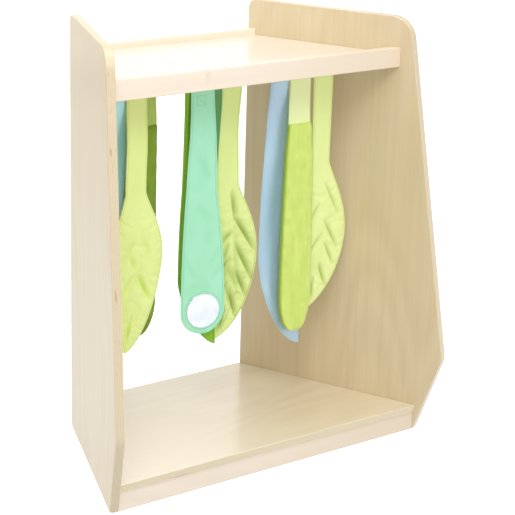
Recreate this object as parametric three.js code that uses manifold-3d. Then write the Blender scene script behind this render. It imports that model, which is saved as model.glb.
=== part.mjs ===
// Children's trapezoid storage cabinet: two birch plywood sides splayed in plan, a top tray,
// a bottom board on plinths, and three bunches of fabric strips that hang from a round rail.
// Millimetres. +X is to the right, +Y to the rear, +Z up. While it is put together the plane
// through the rear outer corners of the sides is Y = 0 and depth is measured forward from it.
import * as THREE from 'three';
import { mergeVertices } from 'three/addons/utils/BufferGeometryUtils.js';
import Module from 'manifold-3d';

const wasm = await Module();
wasm.setup();

// Sides
const OVERALL_HEIGHT = 900;
const REAR_WIDTH = 462;
const SIDE_ANGLE_DEGREES = 21.6;
const SIDE_THICKNESS = 18;
const SIDE_TOP_DEPTH = 392;
const SIDE_WIDEST_DEPTH = 509;
const SIDE_WIDEST_HEIGHT = 175;
const SIDE_FOOT_DEPTH = 448;
const REAR_TOP_RADIUS = 20;
const FRONT_TOP_RADIUS = 50;
const WIDEST_RADIUS = 45;
const FOOT_RADIUS = 4;
const EDGE_EASE = 1.2;

// Boards, rails and plinths
const BOARD_THICKNESS = 16;
const RAIL_DROP = 63;
const RAIL_HEIGHT = 41;
const RAIL_THICKNESS = 18;
const FRONT_RAIL_SETBACK = 21;
const TRAY_DEPTH = 14;
const BOTTOM_BOARD_TOP = 60;
const BOTTOM_BOARD_SETBACK = 9.5;
const PLINTH_THICKNESS = 18;
const PLINTH_SETBACK = 4;

// Clearances
const SEAT_GAP = 0.3;
const BORE_END_GAP = 0.6;
const CUT_OVERRUN = 2;

// Glides under the sides
const GLIDE_HEIGHT = 3;
const GLIDE_RADIUS = 8;
const GLIDE_CHAMFER = 0.8;
const GLIDE_PIN_RADIUS = 1.2;
const GLIDE_PIN_LENGTH = 12;
const GLIDE_INSET = 14;

// Glued dowels
const DOWEL_RADIUS = 4;
const DOWEL_CHAMFER = 1;
const DOWEL_IN_SIDE = 9;
const DOWEL_IN_RAIL = 19;
const RAIL_DOWEL_PITCH = 20;

// Cam fittings
const CAM_RADIUS = 7.2;
const CAM_SKIN = 4;
const CAM_DISTANCE = 24;
const CAM_INSET = 60;
const BOLT_RADIUS = 3;
const BOLT_NECK_RADIUS = 1.7;
const BOLT_THREAD_RADIUS = 2.5;
const BOLT_THREAD_LENGTH = 11;
const BOLT_NECK_LENGTH = 3;
const BOLT_HEAD_LENGTH = 4;
const BOLT_PAST_CAM_CENTRE = 2;
const BOLT_TAPER = 1;

// Hanging rail
const HANG_RADIUS = 10;
const HANG_CHAMFER = 1.5;
const HANG_SETBACK = 76;
const HANG_END_COVER = 2;

// Fabric loops and strips
const LOOP_WALL = 2;
const LOOP_TAIL = 10;
const LOOP_MARGIN = 1;
const LOOP_HEADROOM = 3.7;
const STRAP_THICKNESS = 2.4;
const SETTLE_LENGTH = 110;
const CLOTH_THICKNESS = 4;
const CLOTH_FOLD = 1.5;
const QUILT_THICKNESS = 9;
const PAD_THICKNESS = 18;
const PAD_EDGE_THICKNESS = 5;
const TIP_WIDTH = 5;
const MIRROR_STRIP_THICKNESS = 5.4;
const MIRROR_MARGIN = 13.2;
const MIRROR_THICKNESS = 2.5;
const MIRROR_PROUD = 0.6;
const MIRROR_CHAMFER = 0.5;
const LEFT_FRONT_REACH = 15.5;
const LEFT_LAYER_GAP = 1.5;
const MIDDLE_FRONT_REACH = 10.7;
const MIDDLE_LAYER_GAP = 4;
const RIGHT_FRONT_REACH = 22;
const RIGHT_LAYER_GAP = 2;
const MIDDLE_TWIST_DEGREES = 10;
const TWIST_LENGTH = 300;

// Number of facets
const BORE_SEGMENTS = 12;
const PIN_SEGMENTS = 8;
const CAM_SEGMENTS = 16;
const HANG_SEGMENTS = 28;
const CORNER_SEGMENTS = 7;

const LEFT = -1;
const RIGHT = 1;
const X_AXIS = new THREE.Vector3(1, 0, 0);
const Y_AXIS = new THREE.Vector3(0, 1, 0);
const Z_AXIS = new THREE.Vector3(0, 0, 1);
const ease = (t) => THREE.MathUtils.smoothstep(t, 0, 1);
const mix = THREE.MathUtils.lerp;

const paint = (color, roughness, metalness = 0) =>
  new THREE.MeshStandardMaterial({ color, roughness, metalness });
const finishes = {
  plywood: paint(0xe5d3b0, 0.5),
  solidWood: paint(0xf2e0c8, 0.5),
  dowelWood: paint(0xd9b98c, 0.7),
  glide: paint(0x7f8474, 0.7),
  zinc: paint(0xb9bcbe, 0.4, 0.8),
  lime: paint(0xdff096, 0.9),
  plush: paint(0xcfe872, 1),
  blue: paint(0xb0cee4, 0.85),
  darkGreen: paint(0x69a528, 0.9),
  mint: paint(0xa8ecc6, 0.85),
  mirror: paint(0xf2f4fa, 0.1, 0.3),
  webbing: paint(0xe4f5a5, 0.9),
};

// Places worked out from the sizes
const sideAngle = THREE.MathUtils.degToRad(SIDE_ANGLE_DEGREES);
const rearDepth = SIDE_THICKNESS * Math.sin(sideAngle);
const railTop = OVERALL_HEIGHT - RAIL_DROP;
const railLow = railTop - RAIL_HEIGHT;
const topBoardLow = railTop - TRAY_DEPTH - BOARD_THICKNESS;
const bottomBoardLow = BOTTOM_BOARD_TOP - BOARD_THICKNESS;
const plinthTop = bottomBoardLow - SEAT_GAP;
const frontRailFace = sideEdgeDepth(railTop) - FRONT_RAIL_SETBACK;
const bottomBoardFront = sideEdgeDepth(BOTTOM_BOARD_TOP) - BOTTOM_BOARD_SETBACK;
const frontPlinthFace = bottomBoardFront - PLINTH_SETBACK;
const loopOuter = HANG_RADIUS + SEAT_GAP + LOOP_WALL;
const hangDepth = frontRailFace - RAIL_THICKNESS - HANG_SETBACK;
const hangHeight = topBoardLow - LOOP_HEADROOM - loopOuter;
const hangHalfLength = innerHalf(hangDepth + HANG_RADIUS) + HANG_END_COVER;
const camHeight = BOARD_THICKNESS - CAM_SKIN;

// Depth of a side's front edge at a height, before its corners are rounded
function sideEdgeDepth(height) {
  const foot = { height: GLIDE_HEIGHT, depth: SIDE_FOOT_DEPTH };
  const widest = { height: SIDE_WIDEST_HEIGHT, depth: SIDE_WIDEST_DEPTH };
  const top = { height: OVERALL_HEIGHT, depth: SIDE_TOP_DEPTH };
  const [low, high] = height < widest.height ? [foot, widest] : [widest, top];
  const share = (height - low.height) / (high.height - low.height);
  return mix(low.depth, high.depth, share) * Math.cos(sideAngle);
}

// Half the clear width between the sides at a depth, measured to their inner faces
function innerHalf(depth) {
  return REAR_WIDTH / 2 + depth * Math.tan(sideAngle) - SIDE_THICKNESS / Math.cos(sideAngle);
}

const model = new THREE.Group();

function addMesh(parent, name, geometry, material) {
  const mesh = new THREE.Mesh(geometry, material);
  mesh.name = name;
  parent.add(mesh);
  return mesh;
}

// Boolean work on closed meshes
function toSolid(geometry) {
  const bare = geometry.clone();
  bare.deleteAttribute('normal');
  bare.deleteAttribute('uv');
  const merged = mergeVertices(bare);
  return new wasm.Manifold(new wasm.Mesh({
    numProp: 3,
    vertProperties: new Float32Array(merged.attributes.position.array),
    triVerts: new Uint32Array(merged.index.array),
  }));
}

function toGeometry(solid) {
  const mesh = solid.getMesh();
  const geometry = new THREE.BufferGeometry();
  geometry.setAttribute('position', new THREE.BufferAttribute(mesh.vertProperties, 3));
  geometry.setIndex(new THREE.BufferAttribute(mesh.triVerts, 1));
  const flat = geometry.toNonIndexed();
  flat.computeVertexNormals();
  return flat;
}

function cut(geometry, cutters) {
  let solid = toSolid(geometry);
  for (const cutter of cutters) {
    solid = solid.subtract(toSolid(cutter));
  }
  return toGeometry(solid);
}

// A cylinder between two points, used for bores
function cylinderBetween(start, end, radius, segments = BORE_SEGMENTS) {
  const along = new THREE.Vector3().subVectors(end, start);
  const geometry = new THREE.CylinderGeometry(radius, radius, along.length(), segments);
  const middle = new THREE.Vector3().addVectors(start, end).multiplyScalar(1 / 2);
  const turn = new THREE.Quaternion().setFromUnitVectors(Y_AXIS, along.normalize());
  return geometry.applyQuaternion(turn).translate(middle.x, middle.y, middle.z);
}

// A turned piece from its radii and heights, starting and ending on its axis
function turned(profile, segments) {
  const points = profile.map(([radius, height]) => new THREE.Vector2(radius, height));
  return new THREE.LatheGeometry(points, segments);
}

// A closed outline from corner points, each rounded by its own radius
function roundedShape(corners) {
  const shape = new THREE.Shape();
  corners.forEach((corner, i) => {
    const here = new THREE.Vector2(corner.x, corner.y);
    const before = corners[(i + corners.length - 1) % corners.length];
    const after = corners[(i + 1) % corners.length];
    const back = new THREE.Vector2(before.x, before.y).sub(here).normalize();
    const ahead = new THREE.Vector2(after.x, after.y).sub(here).normalize();
    const half = Math.acos(back.dot(ahead)) / 2;
    const reach = corner.radius / Math.tan(half);
    const first = here.clone().addScaledVector(back, reach);
    const last = here.clone().addScaledVector(ahead, reach);
    const inward = back.clone().add(ahead).normalize();
    const centre = here.clone().addScaledVector(inward, corner.radius / Math.sin(half));
    const from = first.clone().sub(centre).angle();
    const to = last.clone().sub(centre).angle();
    if (i === 0) {
      shape.moveTo(first.x, first.y);
    } else {
      shape.lineTo(first.x, first.y);
    }
    shape.absarc(centre.x, centre.y, corner.radius, from, to, back.cross(ahead) > 0);
  });
  shape.closePath();
  return shape;
}

// A plate with eased edges; it fills 0 to thickness along its own Z
function easedPlate(shape, thickness) {
  const geometry = new THREE.ExtrudeGeometry(shape, {
    depth: thickness - 2 * EDGE_EASE,
    bevelEnabled: true,
    bevelThickness: EDGE_EASE,
    bevelSize: EDGE_EASE,
    bevelOffset: -EDGE_EASE,
    bevelSegments: 1,
    curveSegments: CORNER_SEGMENTS,
  });
  return geometry.translate(0, 0, EDGE_EASE);
}

// The frame of one side: its own X runs forward along the side, Y is up, and Z = 0 is its outer face
function sideMatrix(side) {
  const forward = new THREE.Vector3(side * Math.sin(sideAngle), -Math.cos(sideAngle), 0);
  const across = new THREE.Vector3().crossVectors(forward, Z_AXIS);
  const matrix = new THREE.Matrix4().makeBasis(forward, Z_AXIS, across);
  return matrix.setPosition(side * REAR_WIDTH / 2, 0, 0);
}

function outward(side) {
  return new THREE.Vector3(side * Math.cos(sideAngle), Math.sin(sideAngle), 0);
}

// Boards and rails between the sides, each from a rear depth to a front depth
const topBoardSlip = RAIL_THICKNESS + SEAT_GAP;
const boards = [
  { name: 'top_board', rear: rearDepth + topBoardSlip, front: frontRailFace - topBoardSlip,
    low: topBoardLow, height: BOARD_THICKNESS, material: finishes.plywood, fastened: 'cams' },
  { name: 'bottom_board', rear: rearDepth, front: bottomBoardFront,
    low: bottomBoardLow, height: BOARD_THICKNESS, material: finishes.plywood, fastened: 'cams' },
  { name: 'front_rail', rear: frontRailFace - RAIL_THICKNESS, front: frontRailFace,
    low: railLow, height: RAIL_HEIGHT, material: finishes.solidWood, fastened: 'two dowels' },
  { name: 'rear_rail', rear: rearDepth, front: rearDepth + RAIL_THICKNESS,
    low: railLow, height: RAIL_HEIGHT, material: finishes.solidWood, fastened: 'two dowels' },
  { name: 'front_plinth', rear: frontPlinthFace - PLINTH_THICKNESS, front: frontPlinthFace,
    low: GLIDE_HEIGHT, height: plinthTop - GLIDE_HEIGHT, material: finishes.solidWood,
    fastened: 'one dowel' },
  { name: 'rear_plinth', rear: rearDepth, front: rearDepth + PLINTH_THICKNESS,
    low: GLIDE_HEIGHT, height: plinthTop - GLIDE_HEIGHT, material: finishes.solidWood,
    fastened: 'one dowel' },
];

// Fasteners are listed first, so that both pieces of a joint are bored from the same values
const dowels = [];
const cams = [];
const sides = [{ side: LEFT, label: 'left' }, { side: RIGHT, label: 'right' }];

function addDowel(name, piece, side, depth, height) {
  dowels.push({ name, piece, side, point: new THREE.Vector3(side * innerHalf(depth), -depth, height) });
}

for (const { side, label } of sides) {
  for (const board of boards) {
    const middleDepth = (board.rear + board.front) / 2;
    const middleHeight = board.low + board.height / 2;
    if (board.fastened === 'one dowel') {
      addDowel(`${board.name}_dowel_${label}`, board.name, side, middleDepth, middleHeight);
    } else if (board.fastened === 'two dowels') {
      const shift = RAIL_DOWEL_PITCH / 2;
      addDowel(`${board.name}_dowel_${label}_upper`, board.name, side, middleDepth, middleHeight + shift);
      addDowel(`${board.name}_dowel_${label}_lower`, board.name, side, middleDepth, middleHeight - shift);
    } else {
      for (const [place, depth] of [['rear', board.rear + CAM_INSET], ['front', board.front - CAM_INSET]]) {
        const name = `${board.name}_${label}_${place}`;
        const point = new THREE.Vector3(side * innerHalf(depth), -depth, middleHeight);
        cams.push({ name, piece: board.name, side, low: board.low, point });
      }
    }
  }
}

function dowelBore(dowel) {
  const inSide = dowel.point.clone().addScaledVector(X_AXIS, dowel.side * (DOWEL_IN_SIDE + BORE_END_GAP));
  const inRail = dowel.point.clone().addScaledVector(X_AXIS, -dowel.side * (DOWEL_IN_RAIL + BORE_END_GAP));
  return cylinderBetween(inRail, inSide, DOWEL_RADIUS + SEAT_GAP);
}

function camCentre(cam) {
  return cam.point.clone().addScaledVector(outward(cam.side), -CAM_DISTANCE);
}

// The bolt's bore runs from the cam pocket to the blind hole in the side
function camBoardCutters(cam) {
  const centre = camCentre(cam);
  const past = cam.point.clone().addScaledVector(outward(cam.side), CUT_OVERRUN);
  const boltBore = cylinderBetween(centre, past, BOLT_RADIUS + SEAT_GAP);
  const below = new THREE.Vector3(centre.x, centre.y, cam.low - CUT_OVERRUN);
  const above = new THREE.Vector3(centre.x, centre.y, cam.low + camHeight + SEAT_GAP);
  return [boltBore, cylinderBetween(below, above, CAM_RADIUS + SEAT_GAP)];
}

function camSideCutter(cam) {
  const start = cam.point.clone().addScaledVector(outward(cam.side), -CUT_OVERRUN);
  const end = cam.point.clone().addScaledVector(outward(cam.side), BOLT_THREAD_LENGTH + BORE_END_GAP);
  return cylinderBetween(start, end, BOLT_THREAD_RADIUS + SEAT_GAP);
}

function buildSide({ side, label }) {
  const outline = roundedShape([
    { x: 0, y: GLIDE_HEIGHT, radius: FOOT_RADIUS },
    { x: SIDE_FOOT_DEPTH, y: GLIDE_HEIGHT, radius: FOOT_RADIUS },
    { x: SIDE_WIDEST_DEPTH, y: SIDE_WIDEST_HEIGHT, radius: WIDEST_RADIUS },
    { x: SIDE_TOP_DEPTH, y: OVERALL_HEIGHT, radius: FRONT_TOP_RADIUS },
    { x: 0, y: OVERALL_HEIGHT, radius: REAR_TOP_RADIUS },
  ]);
  const plate = easedPlate(outline, SIDE_THICKNESS);
  if (side === LEFT) {
    plate.translate(0, 0, -SIDE_THICKNESS);
  }
  const matrix = sideMatrix(side);
  const inverse = matrix.clone().invert();
  const hangStart = new THREE.Vector3(0, -hangDepth, hangHeight);
  const hangEnd = new THREE.Vector3(side * (hangHalfLength + BORE_END_GAP), -hangDepth, hangHeight);
  const bores = [
    ...dowels.filter((dowel) => dowel.side === side).map(dowelBore),
    ...cams.filter((cam) => cam.side === side).map(camSideCutter),
    cylinderBetween(hangStart, hangEnd, HANG_RADIUS + SEAT_GAP, HANG_SEGMENTS),
    ...glidePlaces(side).map(glideBore),
  ];
  const geometry = cut(plate, bores.map((bore) => bore.applyMatrix4(inverse)));
  const frame = new THREE.Group();
  frame.applyMatrix4(matrix);
  model.add(frame);
  addMesh(frame, `${label}_side_panel`, geometry, finishes.plywood);
}

// Glides sit under the front and rear ends of each side's lower edge, on the middle of its thickness
function glidePlaces(side) {
  const matrix = sideMatrix(side);
  return [['rear', GLIDE_INSET], ['front', SIDE_FOOT_DEPTH - GLIDE_INSET]].map(([place, along]) => ({
    place,
    point: new THREE.Vector3(along, 0, side * SIDE_THICKNESS / 2).applyMatrix4(matrix),
  }));
}

function glideBore({ point }) {
  const start = new THREE.Vector3(point.x, point.y, 0);
  const end = new THREE.Vector3(point.x, point.y, GLIDE_HEIGHT + GLIDE_PIN_LENGTH + BORE_END_GAP);
  return cylinderBetween(start, end, GLIDE_PIN_RADIUS + SEAT_GAP, PIN_SEGMENTS);
}

function buildGlides({ side, label }) {
  const seat = GLIDE_HEIGHT - SEAT_GAP;
  const pinTop = GLIDE_HEIGHT + GLIDE_PIN_LENGTH;
  const geometry = turned([
    [0, 0],
    [GLIDE_RADIUS - GLIDE_CHAMFER, 0],
    [GLIDE_RADIUS, GLIDE_CHAMFER],
    [GLIDE_RADIUS, seat],
    [GLIDE_PIN_RADIUS, seat],
    [GLIDE_PIN_RADIUS, pinTop - GLIDE_CHAMFER],
    [0, pinTop],
  ], BORE_SEGMENTS);
  for (const { place, point } of glidePlaces(side)) {
    const glide = addMesh(model, `glide_${label}_${place}`, geometry, finishes.glide);
    glide.rotation.x = Math.PI / 2;
    glide.position.set(point.x, point.y, 0);
  }
}

// Boards and rails are mitred to the angle of the sides
function buildBoard({ name, rear, front, low, height, material }) {
  const slip = SEAT_GAP / Math.cos(sideAngle);
  const rearHalf = innerHalf(rear) - slip;
  const frontHalf = innerHalf(front) - slip;
  const shape = new THREE.Shape();
  shape.moveTo(-rearHalf, -rear);
  shape.lineTo(-frontHalf, -front);
  shape.lineTo(frontHalf, -front);
  shape.lineTo(rearHalf, -rear);
  shape.closePath();
  const plate = easedPlate(shape, height).translate(0, 0, low);
  const cutters = [
    ...dowels.filter((dowel) => dowel.piece === name).map(dowelBore),
    ...cams.filter((cam) => cam.piece === name).flatMap(camBoardCutters),
  ];
  addMesh(model, name, cut(plate, cutters), material);
}

function buildDowel(dowel) {
  const length = DOWEL_IN_SIDE + DOWEL_IN_RAIL;
  const geometry = turned([
    [0, 0],
    [DOWEL_RADIUS - DOWEL_CHAMFER, 0],
    [DOWEL_RADIUS, DOWEL_CHAMFER],
    [DOWEL_RADIUS, length - DOWEL_CHAMFER],
    [DOWEL_RADIUS - DOWEL_CHAMFER, length],
    [0, length],
  ], BORE_SEGMENTS);
  const mesh = addMesh(model, dowel.name, geometry, finishes.dowelWood);
  mesh.quaternion.setFromUnitVectors(Y_AXIS, X_AXIS.clone().multiplyScalar(dowel.side));
  mesh.position.copy(dowel.point).addScaledVector(X_AXIS, -dowel.side * DOWEL_IN_RAIL);
}

// The bolt screws into the side and its head is held by the cam in the underside of the board
function buildCam(cam) {
  const inward = outward(cam.side).negate();
  const boltEnd = CAM_DISTANCE + BOLT_PAST_CAM_CENTRE;
  const neckEnd = boltEnd - BOLT_HEAD_LENGTH;
  const neckStart = neckEnd - BOLT_NECK_LENGTH;
  const profile = turned([
    [0, -BOLT_THREAD_LENGTH],
    [BOLT_THREAD_RADIUS, BOLT_TAPER - BOLT_THREAD_LENGTH],
    [BOLT_THREAD_RADIUS, SEAT_GAP],
    [BOLT_RADIUS, SEAT_GAP],
    [BOLT_RADIUS, neckStart - BOLT_TAPER],
    [BOLT_NECK_RADIUS, neckStart],
    [BOLT_NECK_RADIUS, neckEnd],
    [BOLT_RADIUS, neckEnd + BOLT_TAPER],
    [BOLT_RADIUS, boltEnd - BOLT_TAPER],
    [BOLT_RADIUS - BOLT_TAPER, boltEnd],
    [0, boltEnd],
  ], BORE_SEGMENTS);
  const bolt = addMesh(model, `cam_bolt_${cam.name}`, profile, finishes.zinc);
  bolt.quaternion.setFromUnitVectors(Y_AXIS, inward);
  bolt.position.copy(cam.point);

  const centre = camCentre(cam);
  const disc = new THREE.CylinderGeometry(CAM_RADIUS, CAM_RADIUS, camHeight, CAM_SEGMENTS);
  disc.rotateX(Math.PI / 2).translate(0, 0, camHeight / 2);
  const slotHeight = 2 * (BOLT_RADIUS + SEAT_GAP);
  const slotEnd = BOLT_PAST_CAM_CENTRE + BORE_END_GAP;
  const slotLength = CAM_RADIUS + CUT_OVERRUN + slotEnd;
  const slot = new THREE.BoxGeometry(slotLength, slotHeight, slotHeight);
  slot.translate(slotEnd - slotLength / 2, 0, BOARD_THICKNESS / 2);
  const body = addMesh(model, `cam_${cam.name}`, cut(disc, [slot]), finishes.zinc);
  body.rotation.z = Math.atan2(inward.y, inward.x);
  body.position.set(centre.x, centre.y, cam.low);
}

function buildHangingRail() {
  const length = 2 * hangHalfLength;
  const geometry = turned([
    [0, 0],
    [HANG_RADIUS - HANG_CHAMFER, 0],
    [HANG_RADIUS, HANG_CHAMFER],
    [HANG_RADIUS, length - HANG_CHAMFER],
    [HANG_RADIUS - HANG_CHAMFER, length],
    [0, length],
  ], HANG_SEGMENTS);
  const rail = addMesh(model, 'hanging_rail', geometry, finishes.dowelWood);
  rail.quaternion.setFromUnitVectors(Y_AXIS, X_AXIS);
  rail.position.set(-hangHalfLength, -hangDepth, hangHeight);
}

// A fabric loop round the hanging rail, sewn together below it into a tail that carries the strips
function buildLoop(name, from, to) {
  const tailHalf = LOOP_WALL / 2;
  const spread = Math.asin(tailHalf / loopOuter);
  const down = -Math.PI / 2;
  const shape = new THREE.Shape();
  shape.moveTo(-tailHalf, -loopOuter - LOOP_TAIL);
  shape.lineTo(tailHalf, -loopOuter - LOOP_TAIL);
  shape.absarc(0, 0, loopOuter, down + spread, down - spread + 2 * Math.PI, false);
  shape.closePath();
  const hole = new THREE.Path();
  hole.absarc(0, 0, HANG_RADIUS + SEAT_GAP, 0, 2 * Math.PI, true);
  shape.holes.push(hole);
  const geometry = new THREE.ExtrudeGeometry(shape, {
    depth: to - from,
    bevelEnabled: false,
    curveSegments: HANG_SEGMENTS / 2,
  });
  const loop = addMesh(model, name, geometry, finishes.webbing);
  loop.quaternion.setFromRotationMatrix(new THREE.Matrix4().makeBasis(Y_AXIS, Z_AXIS, X_AXIS));
  loop.position.set(from, -hangDepth, hangHeight);
}

// Half the clear width at the rail and the drop from its axis to the bottom board. The places
// across in the strips' shares are shares of the first, and their drops are shares of the second.
const clearHalf = innerHalf(hangDepth);
const clearDrop = hangHeight - BOTTOM_BOARD_TOP;
const strapTop = hangHeight - loopOuter - SEAT_GAP;

// The face of the loop's tail that a strap is sewn to
const FRONT_FACE = -1;
const REAR_FACE = 1;

// How the three kinds of strip swell below the neck, close towards the tip and are stuffed.
// A quilted leaf has sewn veins that run outward and down from its midrib.
const quiltedLeaf = { thickness: QUILT_THICKNESS, edge: CLOTH_THICKNESS, fold: 0, swellPower: 1.8,
  closePower: 2, fillPower: 1, crownPower: 1, columns: 8, strapRows: 4, bodyRows: 24, endRows: 0, veins: 6 };
const plainLeaf = { thickness: CLOTH_THICKNESS, edge: CLOTH_THICKNESS, fold: CLOTH_FOLD, swellPower: 1,
  closePower: 2, fillPower: 1, crownPower: 1, columns: 6, strapRows: 1, bodyRows: 18, endRows: 8, veins: 0 };
const plushPad = { thickness: PAD_THICKNESS, edge: PAD_EDGE_THICKNESS, fold: 0, swellPower: 0.6,
  closePower: 2.6, fillPower: 0.4, crownPower: 0.6, columns: 8,
  strapRows: 4, bodyRows: 16, endRows: 7, veins: 0 };
const mirrorStrip = { thickness: MIRROR_STRIP_THICKNESS, edge: MIRROR_STRIP_THICKNESS, fold: 0,
  swellPower: 1, closePower: 2, fillPower: 1, crownPower: 1, columns: 6,
  strapRows: 3, bodyRows: 18, endRows: 8, veins: 0 };

// The strips of each bunch from front to rear. Each has its left and right edges at the loop, at
// the neck and where it is widest, the place of its tip, and the drops of neck, widest line and tip.
// The middle bunch hangs twisted, with its left edges turned to the rear.
const bunches = [
  { label: 'left', frontReach: LEFT_FRONT_REACH, layerGap: LEFT_LAYER_GAP, twistDegrees: 0, strips: [
    { name: 'left_leaf_strip', kind: quiltedLeaf, face: FRONT_FACE, material: finishes.lime,
      shares: { strap: [-0.835, -0.688], neck: [-0.855, -0.705], widest: [-0.939, -0.577], tip: -0.859,
        neckDrop: 0.257, widestDrop: 0.45, tipDrop: 0.725 } },
    { name: 'left_plush_pad', strapName: 'left_plush_strap', kind: plushPad, face: REAR_FACE,
      material: finishes.plush,
      shares: { strap: [-0.776, -0.606], neck: [-0.777, -0.595], widest: [-0.856, -0.595], tip: -0.755,
        neckDrop: 0.1, widestDrop: 0.59, tipDrop: 0.708 } },
    { name: 'left_blue_strip', kind: plainLeaf, face: REAR_FACE, material: finishes.blue,
      shares: { strap: [-0.942, -0.785], neck: [-0.942, -0.785], widest: [-0.947, -0.76], tip: -0.835,
        neckDrop: 0.06, widestDrop: 0.48, tipDrop: 0.672 } },
  ] },
  { label: 'middle', frontReach: MIDDLE_FRONT_REACH, layerGap: MIDDLE_LAYER_GAP,
    twistDegrees: MIDDLE_TWIST_DEGREES, strips: [
    { name: 'middle_mirror_strip', kind: mirrorStrip, face: FRONT_FACE, material: finishes.mint,
      shares: { strap: [-0.357, -0.174], neck: [-0.373, -0.151], widest: [-0.397, -0.079], tip: -0.238,
        neckDrop: 0.3, widestDrop: 0.655, tipDrop: 0.721 } },
    { name: 'middle_dark_green_strip', kind: plainLeaf, face: REAR_FACE, material: finishes.darkGreen,
      shares: { strap: [-0.391, -0.106], neck: [-0.388, -0.137], widest: [-0.405, -0.13], tip: -0.128,
        neckDrop: 0.3, widestDrop: 0.562, tipDrop: 0.762 } },
    { name: 'middle_leaf_strip', kind: quiltedLeaf, face: REAR_FACE, material: finishes.lime,
      shares: { strap: [-0.101, 0.051], neck: [-0.08, 0.047], widest: [-0.14, 0.192], tip: -0.162,
        neckDrop: 0.27, widestDrop: 0.502, tipDrop: 0.758 } },
  ] },
  { label: 'right', frontReach: RIGHT_FRONT_REACH, layerGap: RIGHT_LAYER_GAP, twistDegrees: 0, strips: [
    { name: 'right_plush_pad', strapName: 'right_plush_strap', kind: plushPad, face: FRONT_FACE,
      material: finishes.plush,
      shares: { strap: [0.433, 0.604], neck: [0.412, 0.594], widest: [0.365, 0.637], tip: 0.512,
        neckDrop: 0.145, widestDrop: 0.628, tipDrop: 0.768 } },
    { name: 'right_leaf_strip', kind: quiltedLeaf, face: REAR_FACE, material: finishes.lime,
      shares: { strap: [0.642, 0.803], neck: [0.648, 0.797], widest: [0.583, 0.962], tip: 0.502,
        neckDrop: 0.207, widestDrop: 0.493, tipDrop: 0.733 } },
    { name: 'right_blue_strip', kind: plainLeaf, face: REAR_FACE, material: finishes.blue,
      shares: { strap: [0.285, 0.432], neck: [0.282, 0.47], widest: [0.246, 0.612], tip: 0.612,
        neckDrop: 0.17, widestDrop: 0.533, tipDrop: 0.825 } },
  ] },
];

// The stations down a strip: shares of its strap above the neck, then shares of its body below
function strapStations(rows, last) {
  const count = last ? rows + 1 : rows;
  return Array.from({ length: count }, (_, row) => ({ onBody: false, share: row / rows }));
}

// A quilted body has even rows with its last one split towards the tip. Any other body has even
// rows down to its widest line and then rows that follow the arc of its end.
const tipSplitShares = [0.45, 0.75, 0.93];

function bodyStations({ veins, bodyRows, endRows }, { neckDrop, widestDrop, tipDrop }) {
  const evenRows = veins > 0 ? bodyRows : bodyRows - endRows;
  const evenEnd = veins > 0 ? 1 : (widestDrop - neckDrop) / (tipDrop - neckDrop);
  const places = Array.from({ length: evenRows + 1 }, (_, row) => evenEnd * row / evenRows);
  if (veins > 0) {
    places.splice(evenRows, 0, ...tipSplitShares.map((split) => (evenRows - 1 + split) / evenRows));
  } else {
    for (let row = 1; row <= endRows; row += 1) {
      places.push(mix(evenEnd, 1, Math.sin(Math.PI / 2 * row / endRows)));
    }
  }
  return places.map((share) => ({ onBody: true, share }));
}

// One edge of a strip at a station, 0 for its left edge and 1 for its right
function edgePlace({ kind, shares }, edge, station) {
  if (!station.onBody) {
    return clearHalf * mix(shares.strap[edge], shares.neck[edge], ease(station.share));
  }
  const drop = mix(shares.neckDrop, shares.tipDrop, station.share);
  if (drop < shares.widestDrop) {
    const down = (drop - shares.neckDrop) / (shares.widestDrop - shares.neckDrop);
    const swell = Math.sin(Math.PI / 2 * down) ** kind.swellPower;
    return clearHalf * mix(shares.neck[edge], shares.widest[edge], swell);
  }
  const down = (drop - shares.widestDrop) / (shares.tipDrop - shares.widestDrop);
  const closing = (1 - down ** kind.closePower) ** (1 / kind.closePower);
  const place = clearHalf * mix(shares.tip, shares.widest[edge], closing);
  const tip = clearHalf * shares.tip;
  return edge === 0 ? Math.min(place, tip - TIP_WIDTH / 2) : Math.max(place, tip + TIP_WIDTH / 2);
}

// Middle point and thickness of a strip. Every strap starts against one face of the loop's tail
// and settles into the strip's own lane lower down.
function stripSurface(strip, lane) {
  const { kind, shares, face } = strip;
  const start = -hangDepth + face * (LOOP_WALL / 2 + SEAT_GAP + STRAP_THICKNESS / 2);
  const neckHeight = hangHeight - clearDrop * shares.neckDrop;
  const tipHeight = hangHeight - clearDrop * shares.tipDrop;
  const strapEnd = strip.strapName ? neckHeight + SEAT_GAP : neckHeight;
  return (station, across) => {
    const left = edgePlace(strip, 0, station);
    const right = edgePlace(strip, 1, station);
    const x = mix(left, right, (across + 1) / 2);
    const along = station.onBody ? Math.sin(Math.PI * station.share) : 0;
    const rise = kind.veins > 0 ? (1 - Math.abs(across)) * (right - left) / 2 * along : 0;
    const edgeHeight = station.onBody
      ? mix(neckHeight, tipHeight, station.share)
      : mix(strapTop, strapEnd, station.share);
    const z = edgeHeight + rise;
    const y = mix(start, lane, ease((strapTop - edgeHeight) / SETTLE_LENGTH));
    const wave = kind.fold * along * Math.sin(Math.PI * across);
    const thickness = station.onBody ? bodyThickness(strip, station.share, across) : STRAP_THICKNESS;
    return { x, y: y + wave, z, thickness };
  };
}

// A body is sewn flat at its edges, and a quilted one along its veins and midrib too
function bodyThickness({ kind, strapName }, share, across) {
  const top = strapName ? kind.edge : STRAP_THICKNESS;
  const sewn = mix(top, kind.edge, ease(kind.bodyRows / 2 * share));
  const fill = Math.sin(Math.PI * share) ** kind.fillPower * (1 - across * across) ** kind.crownPower;
  const vein = kind.veins > 0 ? (1 + Math.cos(2 * Math.PI * kind.veins * share)) / 2 : 0;
  const midrib = kind.veins > 0 ? Math.max(0, 1 - kind.columns / 2 * Math.abs(across)) : 0;
  return sewn + (kind.thickness - kind.edge) * fill * (1 - Math.max(vein, midrib) / 2);
}

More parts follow.
